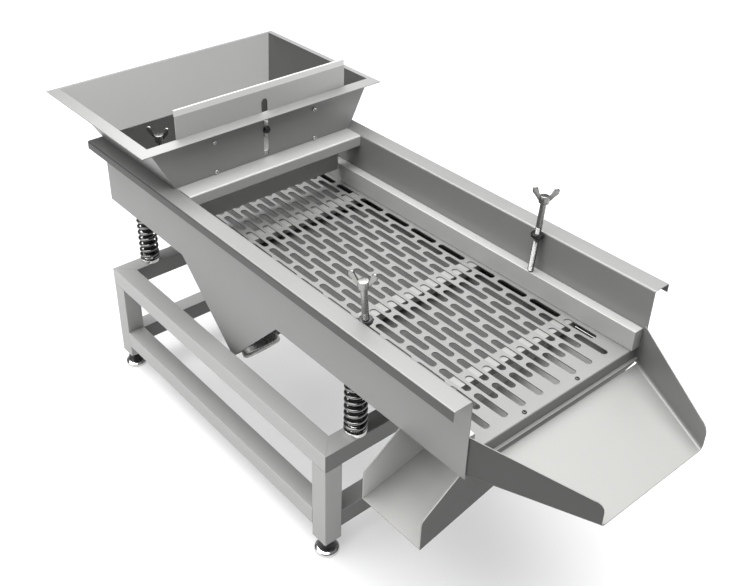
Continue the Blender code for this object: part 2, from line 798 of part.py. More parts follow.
def guide_screws():
    half = GUIDE_SCREW_SPACING / 2
    return [(sign * half, RIM_TOP - drop) for _, sign in SIDES for drop in GUIDE_SCREW_BELOW_RIM]


# Sliding gate behind the hopper's front wall, its clamp bolt and guide screws.
def build_gate(material, bolt_material):
    half = GATE_WIDTH / 2
    foot = FIT_SIDE - CLAMP_RAIL_WIDTH - 0.002
    step = RAIL_TOP + GATE_DROP + 0.004
    outline = [
        (-foot, GATE_BOTTOM),
        (foot, GATE_BOTTOM),
        (foot, step),
        (half, step),
        (half, GATE_TOP),
        (-half, GATE_TOP),
        (-half, step),
        (-foot, step),
    ]
    gate = prism("gate", outline, "X", GATE_FRONT - SHEET, GATE_FRONT, material)
    hem_back = GATE_FRONT - 0.0045
    hem = prism(
        "hem",
        [
            (hem_back, GATE_TOP - 0.0005),
            (GATE_FRONT, GATE_TOP - 0.0005),
            (GATE_FRONT - 0.0015, GATE_TOP + GATE_HEM),
            (hem_back - 0.0015, GATE_TOP + GATE_HEM),
        ],
        "Y", -half, half,
    )
    join(gate, hem)
    bolt_z = RIM_TOP - CLAMP_BOLT_BELOW_RIM
    slots = [(0.0, bolt_z - 0.0065 - GATE_LIFT, GATE_TOP - 0.019, 0.0165)]
    for side, sign in SIDES:
        low = RIM_TOP - GUIDE_SCREW_BELOW_RIM[1] - 0.0045 - GATE_LIFT
        high = RIM_TOP - GUIDE_SCREW_BELOW_RIM[0] + 0.0045 + GATE_DROP
        slots.append((sign * GUIDE_SCREW_SPACING / 2, low, high, 0.0075))
    for y, low, high, width in slots:
        shape = obround((low + high) / 2, y, high - low, width)
        shape = [(b, a) for a, b in shape]
        cut(gate, prism("slot", shape, "X", GATE_FRONT - 0.02, GATE_FRONT + 0.01))
    outside = HOPPER_FRONT + GAP
    inside = GATE_FRONT - SHEET - GAP
    bolt = spool("gate_clamp_bolt", inside, outside, 0.0040, 0.0085, 0.0065, 6, bolt_material)
    bolt.location = (0.0, 0.0, bolt_z)
    for i, (y, z) in enumerate(guide_screws()):
        side = "left" if y < 0 else "right"
        level = "upper" if i % 2 == 0 else "lower"
        screw = spool(
            f"guide_screw_{side}_{level}", inside, outside, 0.0030, 0.0048, 0.0030, 6,
            bolt_material,
        )
        screw.location = (0.0, y, z)


def spool(name, inside, outside, shank, head, thickness, sides, material):
    """A bolt along X, with its head outside the wall and its nut inside."""
    bolt = prism(name, polygon(shank, 6), "X", inside - thickness - 0.002, outside + 0.001, material)
    head_part = prism("head", polygon(head, sides), "X", outside, outside + thickness)
    nut_part = prism("nut", polygon(head, 6), "X", inside - thickness, inside)
    join(bolt, head_part, nut_part)
    return bolt


# Wing bolts that press the clamp rails down on the screen plate.
def build_wing_bolts(material):
    foot = -(TROUGH_TOP - RAIL_TOP - GAP - 0.0006) / cos(WING_TILT)
    turns = iter(WING_TURNS)
    rises = (WING_HUB_RISE, WING_HUB_RISE_REAR)
    for end, x, rise in zip(("front", "rear"), wing_positions(), rises):
        hub_top = rise / cos(WING_TILT)
        for side, sign in SIDES:
            turn = Matrix.Rotation(next(turns), 4, "Z")
            stud = turned(
                f"wing_bolt_{end}_{side}",
                [
                    (0.0, foot),
                    (WING_STUD_RADIUS, foot),
                    (WING_STUD_RADIUS, hub_top - 0.014),
                    (0.0100, hub_top - 0.0125),
                    (0.0092, hub_top),
                    (0.0, hub_top),
                ],
                12,
                material,
            )
            for way in (-1, 1):
                outline = [
                    (way * 0.004, hub_top - 0.009),
                    (way * 0.011, hub_top - 0.010),
                    (way * (WING_SPAN / 2 - 0.001), hub_top + 0.006),
                    (way * WING_SPAN / 2, hub_top + 0.013),
                    (way * (WING_SPAN / 2 - 0.005), hub_top + 0.017),
                    (way * (WING_SPAN / 2 - 0.011), hub_top + 0.013),
                    (way * 0.008, hub_top - 0.001),
                    (way * 0.004, hub_top - 0.001),
                ]
                wing = prism("wing", outline, "Y", -0.0022, 0.0022)
                wing.data.transform(turn)
                join(stud, wing)
            place_on_stud(stud, x, sign, 0.0)


# Twin vibration motors on the inclined plate between the ears. Built with the
# shaft along local Z, upwards, and local X away from the plate.
def build_motors(plate_material, body_material, cover_material, rotor_material):
    low = APEX - MOTOR_OUT * (MOTOR_PLATE - 0.002)
    high = APEX + MOTOR_UP * (hypot(EAR_RUN_REAR, EAR_DEPTH) - 0.010)
    high -= MOTOR_OUT * (MOTOR_PLATE - 0.002)
    lift = MOTOR_OUT * MOTOR_PLATE
    corners = [low, high, high + lift, low + lift]
    outline = [(p.x, p.z) for p in corners]
    prism("motor_plate", outline, "Y", -FIT_SIDE, FIT_SIDE, plate_material)
    end = MOTOR_END
    start = end - MOTOR_LENGTH
    body_low = start + MOTOR_COVER + GAP
    body_high = end - MOTOR_COVER - GAP
    for side, sign in SIDES:
        spot = APEX + MOTOR_OUT * MOTOR_AXIS_HEIGHT + Vector((0, sign * MOTOR_SIDE, 0))
        housing = motor_housing(f"motor_housing_{side}", body_low, body_high, body_material)
        place(housing, spot, MOTOR_OUT, MOTOR_UP)
        for name, mouth, cap in (("lower", body_low - GAP, start), ("upper", body_high + GAP, end)):
            cover = motor_cover(f"motor_cover_{side}_{name}", mouth, cap, cover_material)
            place(cover, spot, MOTOR_OUT, MOTOR_UP)
        rotor = motor_rotor(f"motor_rotor_{side}", body_low, body_high, start, end, rotor_material)
        place(rotor, spot, MOTOR_OUT, MOTOR_UP)


def motor_housing(name, low, high, material):
    """A cast shell with end shields, feet, bolt heads and a terminal box."""
    bore = SHAFT_RADIUS + 0.0006
    cavity = MOTOR_BODY_RADIUS - 0.006
    rim = MOTOR_RADIUS - 0.0005
    profile = [
        (bore, low),
        (rim, low),
        (rim, low + 0.004),
        (MOTOR_BODY_RADIUS, low + 0.006),
        (MOTOR_BODY_RADIUS, high - 0.006),
        (rim, high - 0.004),
        (rim, high),
        (bore, high),
        (bore, high - 0.006),
        (cavity, high - 0.006),
        (cavity, low + 0.006),
        (bore, low + 0.006),
    ]
    shell = turned(name, profile, 14, material, closed=True)
    bottom = -(MOTOR_AXIS_HEIGHT - 0.002 - GAP)
    top = bottom + 0.0115
    middle = (low + high) / 2
    half = MOTOR_RADIUS - 0.003
    for z0, z1 in ((low + 0.008, low + 0.026), (high - 0.026, high - 0.008)):
        pad = box("pad", bottom, top, -half, half, z0, z1)
        join(shell, pad)
        for sign in (-1, 1):
            head = polygon(0.0072, 6, 0.0, sign * (half - 0.009), (z0 + z1) / 2)
            join(shell, prism("head", head, "X", top - 0.001, top + 0.006))
    shelf = box(
        "terminal_box", MOTOR_BODY_RADIUS - 0.006, MOTOR_BODY_RADIUS + 0.011,
        -0.017, 0.017, middle - 0.019, middle + 0.019,
    )
    gland = prism(
        "gland", polygon(0.0065, 8, 0.0, MOTOR_BODY_RADIUS + 0.003, 0.0), "Z",
        middle + 0.017, middle + 0.031,
    )
    join(shell, shelf, gland)
    return shell


def motor_cover(name, mouth, cap, material):
    """A pressed cup over the eccentric weights at one end."""
    way = 1 if cap > mouth else -1
    wall = 0.002
    profile = [
        (0.0, cap),
        (MOTOR_RADIUS - 0.008, cap),
        (MOTOR_RADIUS - 0.002, cap - way * 0.003),
        (MOTOR_RADIUS, cap - way * 0.008),
        (MOTOR_RADIUS, mouth),
        (MOTOR_RADIUS - wall, mouth),
        (MOTOR_RADIUS - wall, cap - way * 0.008),
        (MOTOR_RADIUS - 0.008, cap - way * wall),
        (0.0, cap - way * wall),
    ]
    return turned(name, profile, 14, material)


def motor_rotor(name, low, high, start, end, material):
    """Shaft, rotor core and an eccentric half disc at each end."""
    core = MOTOR_BODY_RADIUS - 0.009
    profile = [
        (0.0, start + 0.006),
        (SHAFT_RADIUS, start + 0.006),
        (SHAFT_RADIUS, low + 0.010),
        (core, low + 0.010),
        (core, high - 0.010),
        (SHAFT_RADIUS, high - 0.010),
        (SHAFT_RADIUS, end - 0.006),
        (0.0, end - 0.006),
    ]
    rotor = turned(name, profile, 10, material)
    outline = [(0.0, -0.012)]
    for i in range(9):
        turn = -pi / 2 - pi * i / 8
        outline.append((0.034 * cos(turn), 0.034 * sin(turn)))
    outline.append((0.0, 0.012))
    outline.append((0.010, 0.007))
    outline.append((0.010, -0.007))
    for z0, z1 in ((start + 0.009, low - 0.005), (high + 0.005, end - 0.009)):
        join(rotor, prism("weight", outline, "Z", z0, z1))
    return rotor


def build():
    clear_scene()
    tube = steel("satin_tube", 0.45, 0.34)
    sheet = steel("satin_sheet", 0.40, 0.36)
    bright = steel("bright_sheet", 0.56, 0.30)
    screen = steel("screen_sheet", 0.58, 0.32)
    turned_steel = steel("turned_steel", 0.60, 0.22, 1.0)
    spring = steel("spring_steel", 0.38, 0.18, 1.0)
    cast = steel("cast_housing", 0.30, 0.50, 0.6)
    dark = steel("rotor_steel", 0.22, 0.40, 1.0)
    build_frame(tube)
    build_feet(turned_steel)
    build_springs(spring, turned_steel)
    build_side_walls(sheet)
    build_pan(sheet)
    build_fines_chute(bright)
    build_main_chute(bright)
    build_screen(screen, sheet, bright)
    build_sill(bright)
    build_hopper(bright)
    build_gate(bright, turned_steel)
    build_wing_bolts(turned_steel)
    build_motors(sheet, cast, turned_steel, dark)


build()
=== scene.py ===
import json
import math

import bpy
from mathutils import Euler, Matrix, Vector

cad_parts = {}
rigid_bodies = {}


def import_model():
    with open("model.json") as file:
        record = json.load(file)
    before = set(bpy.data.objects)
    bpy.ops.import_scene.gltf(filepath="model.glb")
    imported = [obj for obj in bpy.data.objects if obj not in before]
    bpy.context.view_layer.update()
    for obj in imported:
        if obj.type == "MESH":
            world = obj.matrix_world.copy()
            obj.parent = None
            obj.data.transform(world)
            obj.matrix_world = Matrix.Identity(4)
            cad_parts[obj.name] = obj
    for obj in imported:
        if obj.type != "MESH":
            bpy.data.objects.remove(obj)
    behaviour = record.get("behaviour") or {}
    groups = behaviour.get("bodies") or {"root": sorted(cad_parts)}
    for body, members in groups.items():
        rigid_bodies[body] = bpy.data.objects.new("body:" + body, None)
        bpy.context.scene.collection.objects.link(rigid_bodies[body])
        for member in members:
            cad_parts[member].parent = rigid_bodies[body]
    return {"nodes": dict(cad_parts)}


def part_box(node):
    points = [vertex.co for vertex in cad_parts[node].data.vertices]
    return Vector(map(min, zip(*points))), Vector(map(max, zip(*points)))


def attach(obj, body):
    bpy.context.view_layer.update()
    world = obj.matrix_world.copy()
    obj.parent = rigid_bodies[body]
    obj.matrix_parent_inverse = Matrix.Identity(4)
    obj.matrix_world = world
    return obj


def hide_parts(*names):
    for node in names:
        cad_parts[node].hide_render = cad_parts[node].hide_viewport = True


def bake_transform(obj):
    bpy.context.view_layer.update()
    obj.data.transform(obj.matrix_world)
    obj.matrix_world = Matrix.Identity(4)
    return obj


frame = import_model()

# %% [markdown]
# A vibrating sieve, dressed for its portrait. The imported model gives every
# solid its place, so this lesson starts by measuring it. All of its sheet is
# 2 mm thick. Each piece made here either takes the place of a solid, with
# softer edges and finer curves, or adds what is too small for the solids, such
# as screws and weld beads.

SIDES = (("left", -1), ("right", 1))
CORNERS = [end + "_" + side for end in ("front", "rear") for side in ("left", "right")]
SHEET = 0.002
WALL_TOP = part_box("side_wall_left")[1].z

def middle(node):
    low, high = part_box(node)
    return (low + high) / 2

nodes = frame["nodes"]
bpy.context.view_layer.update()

# %% [markdown]
# The portrait was taken from above the outlet end, with the camera turned to
# the left of the machine's length. The lens is a normal one. A small shift
# puts the machine where it stands in the picture without tilting the camera.

# %% Camera
CAMERA_TURN = [math.radians(angle) for angle in (57.38, -0.26, 50.83)]

view_camera = bpy.data.cameras.new("portrait_camera")
view_camera.lens = 46.82
view_camera.sensor_width = 36.0
view_camera.shift_x = 0.0581
view_camera.shift_y = -0.0579
view_camera.clip_end = 60.0
camera_stand = bpy.data.objects.new("portrait_camera", view_camera)
camera_stand.location = (1.2189, -1.0689, 1.5217)
camera_stand.rotation_euler = Euler(CAMERA_TURN)
bpy.context.scene.collection.objects.link(camera_stand)
bpy.context.scene.camera = camera_stand

# %% [markdown]
# The studio starts with a pale floor that has no visible end. It lies half a
# millimetre low, so that the feet's flat undersides never flicker against it.

# %% Floor
FLOOR_SIZE = 40.0
FLOOR_DROP = 0.0005

bpy.ops.object.select_all(action="DESELECT")
bpy.ops.mesh.primitive_plane_add(size=FLOOR_SIZE, location=(0.0, 0.0, -FLOOR_DROP))
studio_floor = bpy.context.object
studio_floor.name = "studio_floor"

# %% [markdown]
# A large soft light hangs above and a second one stands at the left of the
# machine. The outlet end gets no light of its own, so the faces that look that
# way are the darkest.

# %% Soft lights
def soft_light(name, place, aim, width, height, power):
    lamp = bpy.data.lights.new(name, "AREA")
    lamp.shape = "RECTANGLE"
    lamp.size = width
    lamp.size_y = height
    lamp.energy = power
    stand = bpy.data.objects.new(name, lamp)
    stand.location = place
    way = Vector(aim) - Vector(place)
    stand.rotation_euler = way.to_track_quat("-Z", "Y").to_euler()
    bpy.context.scene.collection.objects.link(stand)

soft_light(
    "ceiling_softbox", place=(-0.3, 0.1, 3.0), aim=(-0.1, 0.0, 0.4),
    width=4.4, height=4.4, power=190.0,
)
soft_light(
    "left_softbox", place=(-0.9, -3.1, 1.5), aim=(-0.1, 0.0, 0.35),
    width=3.0, height=1.2, power=34.0,
)

# %% [markdown]
# A very broad sun lights the whole floor evenly, far past the reach of the
# soft lights. The air itself is dim, because bright air on every side would
# make polished steel look like plaster. The standard view keeps white paper
# white.

# %% Broad sun and dim air
sky = bpy.data.lights.new("even_floor_light", "SUN")
sky.energy = 4.0
sky.angle = math.radians(80)
sky_stand = bpy.data.objects.new("even_floor_light", sky)
sky_stand.rotation_euler = Euler((math.radians(6), math.radians(-6), 0.0))
bpy.context.scene.collection.objects.link(sky_stand)

studio_world = bpy.data.worlds.new("studio_air")
bpy.context.scene.world = studio_world
studio_world.use_nodes = True
air = studio_world.node_tree.nodes["Background"]
air.inputs["Color"].default_value = (0.93, 0.95, 0.97, 1.0)
air.inputs["Strength"].default_value = 0.12
bpy.context.scene.view_settings.view_transform = "Standard"

# %% [markdown]
# Colours are written as the hex values that a picture shows and turned to
# linear light by one function. A second small function adds a node to a
# material with its settings and its links, and does nothing else.

# %% Colour and node helpers
def linear(hex_value):
    channels = [int(hex_value[i : i + 2], 16) / 255 for i in (1, 3, 5)]
    return tuple(
        c / 12.92 if c <= 0.04045 else ((c + 0.055) / 1.055) ** 2.4 for c in channels
    ) + (1.0,)

def add_node(material, kind, settings=(), links=()):
    tree = material.node_tree
    node = tree.nodes.new(kind)
    for key, value in dict(settings).items():
        if key in node.inputs:
            node.inputs[key].default_value = value
        else:
            setattr(node, key, value)
    for socket, source in dict(links).items():
        tree.links.new(source, node.inputs[socket])
    return node

def fresh_material(name):
    material = bpy.data.materials.new(name)
    material.use_nodes = True
    return material, material.node_tree.nodes["Principled BSDF"]

# %% [markdown]
# Every finish here is a noise in the piece's own coordinates that stirs the
# roughness, the tone or the relief. The middle of a noise is where nearly all
# of its values lie, so that part is what gets stretched over the wanted range.

# %% Noise helpers
NOISE_LOW, NOISE_HIGH = 0.3, 0.7

def piece_place(material):
    return add_node(material, "ShaderNodeTexCoord").outputs["Object"]

def noise(material, place, scale, detail, **more):
    settings = {"Scale": scale, "Detail": detail, **more}
    node = add_node(material, "ShaderNodeTexNoise", settings, {"Vector": place})
    return node.outputs["Fac"]

def between(material, value, low, high):
    """Stretch the middle of a noise over the range from low to high."""
    span = {
        "From Min": NOISE_LOW, "From Max": NOISE_HIGH, "To Min": low, "To Max": high
    }
    node = add_node(material, "ShaderNodeMapRange", span, {"Value": value})
    return node.outputs["Result"]

def toned(material, tint, tone):
    """The tint, made a little lighter or darker by the tone."""
    settings, links = {"Color": linear(tint)}, {"Value": tone}
    node = add_node(material, "ShaderNodeHueSaturation", settings, links)
    return node.outputs["Color"]

def raised(material, height, strength, distance):
    settings = {"Strength": strength, "Distance": distance}
    node = add_node(material, "ShaderNodeBump", settings, {"Height": height})
    return node.outputs["Normal"]

# %% [markdown]
# Stainless sheet and tube with a ground satin finish. A grinding belt leaves
# fine parallel scratches that widen the reflections across the belt's way.
# They are drawn as a noise that is stretched along the grain. Larger, fainter
# clouds change the roughness and the tone a little, as handling and pickling
# do on real sheet.

# %% Satin stainless
SCRATCH_SPACING = 0.0009
SCRATCH_LENGTH = 0.060
SCRATCH_RELIEF = 0.00005
CLOUD_SIZE = 0.11
CLOUD_SHARE = 0.45

def satin_stainless(name, tint, roughness, grain, metallic):
    material, shader = fresh_material(name)
    shader.inputs["Metallic"].default_value = metallic
    scale = [1 / SCRATCH_SPACING] * 3
    scale["XYZ".index(grain)] = 1 / SCRATCH_LENGTH
    place = piece_place(material)
    stretch = add_node(
        material, "ShaderNodeMapping", {"Scale": scale}, {"Vector": place}
    )
    scratches = noise(material, stretch.outputs["Vector"], 1.0, 3.0, Roughness=0.65)
    clouds = noise(material, place, 1 / CLOUD_SIZE, 2.0)
    both = add_node(
        material, "ShaderNodeMix", {"Factor": CLOUD_SHARE},
        {"A": scratches, "B": clouds},
    ).outputs["Result"]
    spread = between(material, both, roughness - 0.05, roughness + 0.06)
    tone = between(material, both, 0.965, 1.0)
    link = material.node_tree.links.new
    link(toned(material, tint, tone), shader.inputs["Base Color"])
    link(spread, shader.inputs["Roughness"])
    link(raised(material, scratches, 0.10, SCRATCH_RELIEF), shader.inputs["Normal"])
    return material

# %% [markdown]
# Each sheet and tube gets a finish with its own tint, roughness, way of the
# grain and share of metal shine. Some tints are painted light and shade: a
# darker copy stands for the shade on faces that look away from the lamps, and
# a lighter one for a painted highlight, so some pieces carry two of these finishes.

# %% Satin finishes
# The frame's tubes, by the way that they run; the crossways ones are tinted
# darker as painted shade. The weld beads match the rails.
tube_x = satin_stainless("satin_tube_lengthways", "#9E9E9D", 0.50, "X", 0.30)
tube_crossways_painted_shade = satin_stainless("satin_tube_crossways_painted_shade", "#6C6C6B", 0.50, "Y", 0.35)
tube_z = satin_stainless("satin_tube_upright", "#9A9A99", 0.50, "Z", 0.30)
# The trough's walls and motor plate; its pan, darkened as painted shade under
# the screen; and a dark tint painted as shade on faces turned from the lamps.
trough_steel = satin_stainless("satin_sheet_trough", "#828281", 0.46, "X", 0.38)
pan_painted_shade = satin_stainless("pan_sheet_painted_shade", "#565655", 0.62, "X", 0.10)
painted_shade_sheet = satin_stainless("satin_sheet_painted_shade", "#484847", 0.48, "X", 0.45)
# Both chutes and the screen's cross bars, and the main chute's inner sides,
# which are painted darker than the floor as shade.
chute_steel = satin_stainless("satin_sheet_chutes", "#888886", 0.46, "X", 0.30)
chute_sides_painted_shade = satin_stainless("satin_sheet_chute_sides_painted_shade", "#747473", 0.46, "Y", 0.30)
# The hopper, its gate and sill, and a painted highlight for the gate's hem and
# the side chute's rear cheek.
hopper_steel = satin_stainless("satin_sheet_hopper", "#8A8A89", 0.48, "Y", 0.30)
gate_steel = satin_stainless("satin_sheet_gate", "#AEAEAC", 0.46, "Y", 0.25)
painted_highlight_steel = satin_stainless("painted_highlight_hem_and_cheek", "#D0D0CE", 0.36, "Y", 0.25)
# The punched screen and the bars that clamp it.
screen_steel = satin_stainless("punched_screen_sheet", "#7C7C7B", 0.50, "X", 0.30)
rail_steel = satin_stainless("satin_clamp_bar", "#B0B0AE", 0.46, "X", 0.25)
print("materials so far:", len(bpy.data.materials))

# %% [markdown]
# Feet, seats and small screws come off a lathe and are polished bright. The
# tool leaves rings too fine to see, so a faint noise stirs the roughness and
# keeps the highlights from looking like glass. The wing bolts are forgings and
# the motor covers are drawn cups, both polished to a softer shine. The springs
# are polished wire. The collar rings, the gate's bolt, the deck screws and the
# rotors are blackened steel; the same dark finish is painted shade on the wall
# collars and the foot rings.

# %% Turned and polished steel
def turned_steel(name, tint, roughness):
    material, shader = fresh_material(name)
    shader.inputs["Base Color"].default_value = linear(tint)
    shader.inputs["Metallic"].default_value = 1.0
    rings = noise(material, piece_place(material), 240.0, 2.0)
    spread = between(material, rings, roughness - 0.04, roughness + 0.07)
    material.node_tree.links.new(spread, shader.inputs["Roughness"])
    return material

bright_turned = turned_steel("bright_turned_steel", "#D6D6D4", 0.16)
forged_polish = turned_steel("polished_forging", "#929290", 0.26)
spring_wire = turned_steel("polished_spring_wire", "#7C7C7B", 0.16)
# Also the painted shade on the wall collars and the foot rings.
blackened_and_shade_steel = turned_steel("blackened_steel_and_painted_shade", "#4A4A4B", 0.30)

# %% [markdown]
# The motors are grey enamel over a sand casting, so they have a fine grain in
# relief and no metal shine.

# %% Painted casting
cast_paint, shader = fresh_material("grey_enamel_on_casting")
shader.inputs["Roughness"].default_value = 0.42
place = piece_place(cast_paint)
sand = noise(cast_paint, place, 650.0, 3.0)
drift = noise(cast_paint, place, 14.0, 2.0)
grey = toned(cast_paint, "#6C7073", between(cast_paint, drift, 0.88, 1.05))
relief = raised(cast_paint, sand, 0.25, 0.0002)
cast_paint.node_tree.links.new(grey, shader.inputs["Base Color"])
cast_paint.node_tree.links.new(relief, shader.inputs["Normal"])

# %% [markdown]
# Moulded rubber is nearly black, and its surface scatters the little light
# that it returns. A fine noise in the roughness gives it a dusty bloom.

# %% Rubber
rubber, shader = fresh_material("black_moulded_rubber")
shader.inputs["Base Color"].default_value = linear("#1D1D1E")
bloom = noise(rubber, piece_place(rubber), 90.0, 3.0)
spread = between(rubber, bloom, 0.55, 0.80)
rubber.node_tree.links.new(spread, shader.inputs["Roughness"])

# %% [markdown]
# The floor is a table of pale acrylic sheet with lamps under it, as used for
# catalogue pictures. Its own glow thins out the machine's shadow.

# %% Lit table
floor_paint, shader = fresh_material("lit_acrylic_table")
shader.inputs["Base Color"].default_value = linear("#B4B4B4")
shader.inputs["Roughness"].default_value = 0.9
shader.inputs["Emission Color"].default_value = linear("#FFFFFF")
shader.inputs["Emission Strength"].default_value = 0.42
studio_floor.data.materials.append(floor_paint)

# %% [markdown]
# A few helpers stand for what a hand does in Blender: let everything go, take
# hold of one thing, fix its place in its mesh, work a modifier into it, and
# dress it with its material, its name and the body that it rides on.

# %% Hands
def take_nothing():
    if bpy.context.object is not None and bpy.context.object.mode != "OBJECT":
        bpy.ops.object.mode_set(mode="OBJECT")
    bpy.ops.object.select_all(action="DESELECT")

def take(*items):
    take_nothing()
    for item in items:
        item.select_set(True)
    bpy.context.view_layer.objects.active = items[0]

def settle(piece):
    take(piece)
    bpy.ops.object.transform_apply(location=True, rotation=True, scale=True)

def dress(piece, name, material, body, stands_for=(), smooth=35.0):
    settle(piece)
    piece.name = name
    piece.data.name = name
    piece.data.materials.clear()
    piece.data.materials.append(material)
    bpy.ops.object.shade_smooth_by_angle(angle=math.radians(smooth))
    if stands_for:
        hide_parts(*stands_for)
    if body:
        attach(piece, body)
    return piece

def apply_modifier(piece, kind, **settings):
    modifier = piece.modifiers.new(kind.lower(), kind)
    for key, value in settings.items():
        setattr(modifier, key, value)
    take(piece)
    bpy.ops.object.modifier_apply(modifier=modifier.name)

def bevel_edges(piece, width, steps, angle=40):
    """Round every edge that turns by more than the angle, in degrees."""
    apply_modifier(
        piece, "BEVEL", width=width, segments=steps, limit_method="ANGLE",
        angle_limit=math.radians(angle),
    )

# %% [markdown]
# Many solids have the right shape and only lack the small radius that a press
# brake leaves on every edge. A copy of the solid is merged into clean flat
# faces, and its sharp edges are bevelled. The bevel would bend the shading of
# the large faces beside it, so weighted normals hold those faces flat.

# %% Clean copies with soft edges
MERGE_REACH = 0.00001
FLAT_WITHIN = math.radians(0.8)

def clean_copy(node):
    piece = bpy.data.objects.new(node + "_finished", nodes[node].data.copy())
    bpy.context.scene.collection.objects.link(piece)
    take(piece)
    bpy.ops.object.mode_set(mode="EDIT")
    bpy.ops.mesh.select_all(action="SELECT")
    bpy.ops.mesh.remove_doubles(threshold=MERGE_REACH)
    bpy.ops.mesh.dissolve_limited(angle_limit=FLAT_WITHIN)
    bpy.ops.object.mode_set(mode="OBJECT")
    return piece

def flatten_shading(piece):
    """Let the large flat faces decide the shading at their rounded edges."""
    apply_modifier(piece, "WEIGHTED_NORMAL", mode="FACE_AREA", weight=50, keep_sharp=True)

def soften(node, width, material, steps=2):
    piece = clean_copy(node)
    bevel_edges(piece, width, steps)
    dress(piece, node + "_finished", material, None, [node])
    flatten_shading(piece)
    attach(piece, "trough")
    return piece

# %% [markdown]
# Some faces get a second finish with painted light and shade: a darker tint
# for faces in shade, a lighter one for a highlight. The faces that belong to a
# lip, a cheek or a collar are picked by their place or by the way they look.

# %% Painted shade and highlights on some faces
def paint_light_and_shade(piece, material, belongs):
    piece.data.materials.append(material)
    slot = len(piece.data.materials) - 1
    for face in piece.data.polygons:
        if belongs(face):
            face.material_index = slot

COLLAR_REACH = 0.014
INNER_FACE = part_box("trough_pan")[1].y
BOLTS_ALONG = [middle("wing_bolt_" + end + "_left").x for end in ("front", "rear")]

def collar_shade_faces(face):
    """True on the short collars that the wing bolts pass through, under the flange, whose
    dark finish is painted shade.
    """
    nearest = min(abs(face.center.x - x) for x in BOLTS_ALONG)
    below_flange = WALL_TOP - 0.0100 < face.center.z < WALL_TOP - 0.0010
    inside = abs(face.center.y) < INNER_FACE - 0.0003
    return nearest < COLLAR_REACH and below_flange and inside

# %% [markdown]
# The side walls have a lip that hangs down outside and a collar for each wing
# bolt inside; both get a dark finish as painted shade. The plate between the
# motor ears and the pan stay plain, though the pan's tint is painted shade.

# %% Trough
for node in ("side_wall_left", "side_wall_right"):
    wall = soften(node, 0.0004, trough_steel)
    lip = max(abs(y) for y in (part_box(node)[0].y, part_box(node)[1].y)) - SHEET
    # Painted shade: the lip's outer faces get the dark tint.
    paint_light_and_shade(wall, painted_shade_sheet, lambda face: abs(face.center.y) > lip)
    # Painted shade: the collars under the flange get the dark finish.
    paint_light_and_shade(wall, blackened_and_shade_steel, collar_shade_faces)
soften("motor_plate", 0.0004, trough_steel)
# The pan's dark tint is painted shade under the screen.
soften("trough_pan", 0.0004, pan_painted_shade)

# %% [markdown]
# The main chute's sides lean in, so a face is outside when it looks away from
# the middle line and inside when it looks towards it. Both are painted darker
# than the floor as shade, the outside the darker. The side chute has two cheeks:
# the front one is painted dark as shade and the rear one light as a highlight.

# %% Chutes
FACING = 0.05

chute = soften("main_chute", 0.0005, chute_steel)
# Painted shade: the main chute's outsides and insides are tinted darker than its floor.
paint_light_and_shade(chute, painted_shade_sheet, lambda face: face.normal.y * face.center.y > FACING)
paint_light_and_shade(chute, chute_sides_painted_shade, lambda face: face.normal.y * face.center.y < -FACING)
side_chute = soften("fines_chute", 0.0005, chute_steel)
halfway = middle("fines_chute").x
# Painted highlight: the rear cheek's inner face is tinted light where the trough shades it;
# painted shade: the front cheek is tinted dark.
paint_light_and_shade(
    side_chute, painted_highlight_steel, lambda face: face.normal.x > 0.5 and face.center.x < halfway
)
paint_light_and_shade(
    side_chute, painted_shade_sheet, lambda face: face.normal.x > 0.5 and face.center.x > halfway
)

# %% [markdown]
# The hopper's side sheets lean out, and their inner faces, which look up and
# across, are painted dark as shade. The clamp rails are rounder than the sheets,
# because they are drawn bars.

# %% Hopper, rails and bars
hopper = soften("hopper", 0.0004, hopper_steel)
paint_light_and_shade(hopper, painted_shade_sheet, lambda face: abs(face.normal.y) > 0.5 and face.normal.z > FACING)
soften("hopper_sill", 0.0004, gate_steel)
for node in ("clamp_rail_left", "clamp_rail_right"):
    soften(node, 0.0014, rail_steel, 3)
for node in ("screen_bar_rear", "screen_bar_middle", "screen_bar_front"):
    soften(node, 0.0006, chute_steel)
softened = [item for item in bpy.data.objects if item.name.endswith("_finished")]
print("softened sheet pieces:", len(softened))

# %% [markdown]
# The gate is a plain sheet that slides behind the hopper's front wall, with a
# hem along its top to lift it by. It gets the same treatment, but it rides on
# its own body.

# %% Gate
GATE_HEM = 0.0125
hem_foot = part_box("gate")[1].z - GATE_HEM

gate = clean_copy("gate")
bevel_edges(gate, 0.0005, 3)
dress(gate, "gate_finished", gate_steel, None, ["gate"])
flatten_shading(gate)
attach(gate, "gate")
# Painted highlight: the hem is tinted lighter than the gate.
paint_light_and_shade(gate, painted_highlight_steel, lambda face: face.center.z > hem_foot)

# %% [markdown]
# Square tube is rolled from strip, so its four long corners have a small
# radius, and its sawn ends stay sharp. Only the long outer edges of each tube
# are selected, by their place, and bevelled.

# %% Rolled tubes
TUBE_RADIUS = 0.0012
ON_EDGE = 0.0001

def select_long_corners(piece, low, high):
    size = high - low
    length = max(range(3), key=lambda i: size[i])
    across = [i for i in range(3) if i != length]
    for edge in piece.data.edges:
        a, b = (piece.data.vertices[v].co for v in edge.vertices)
        long_way = abs(a[length] - b[length]) > 0.5 * size[length]
        edge.select = long_way and all(
            min(abs(a[i] - low[i]), abs(a[i] - high[i])) < ON_EDGE for i in across
        )

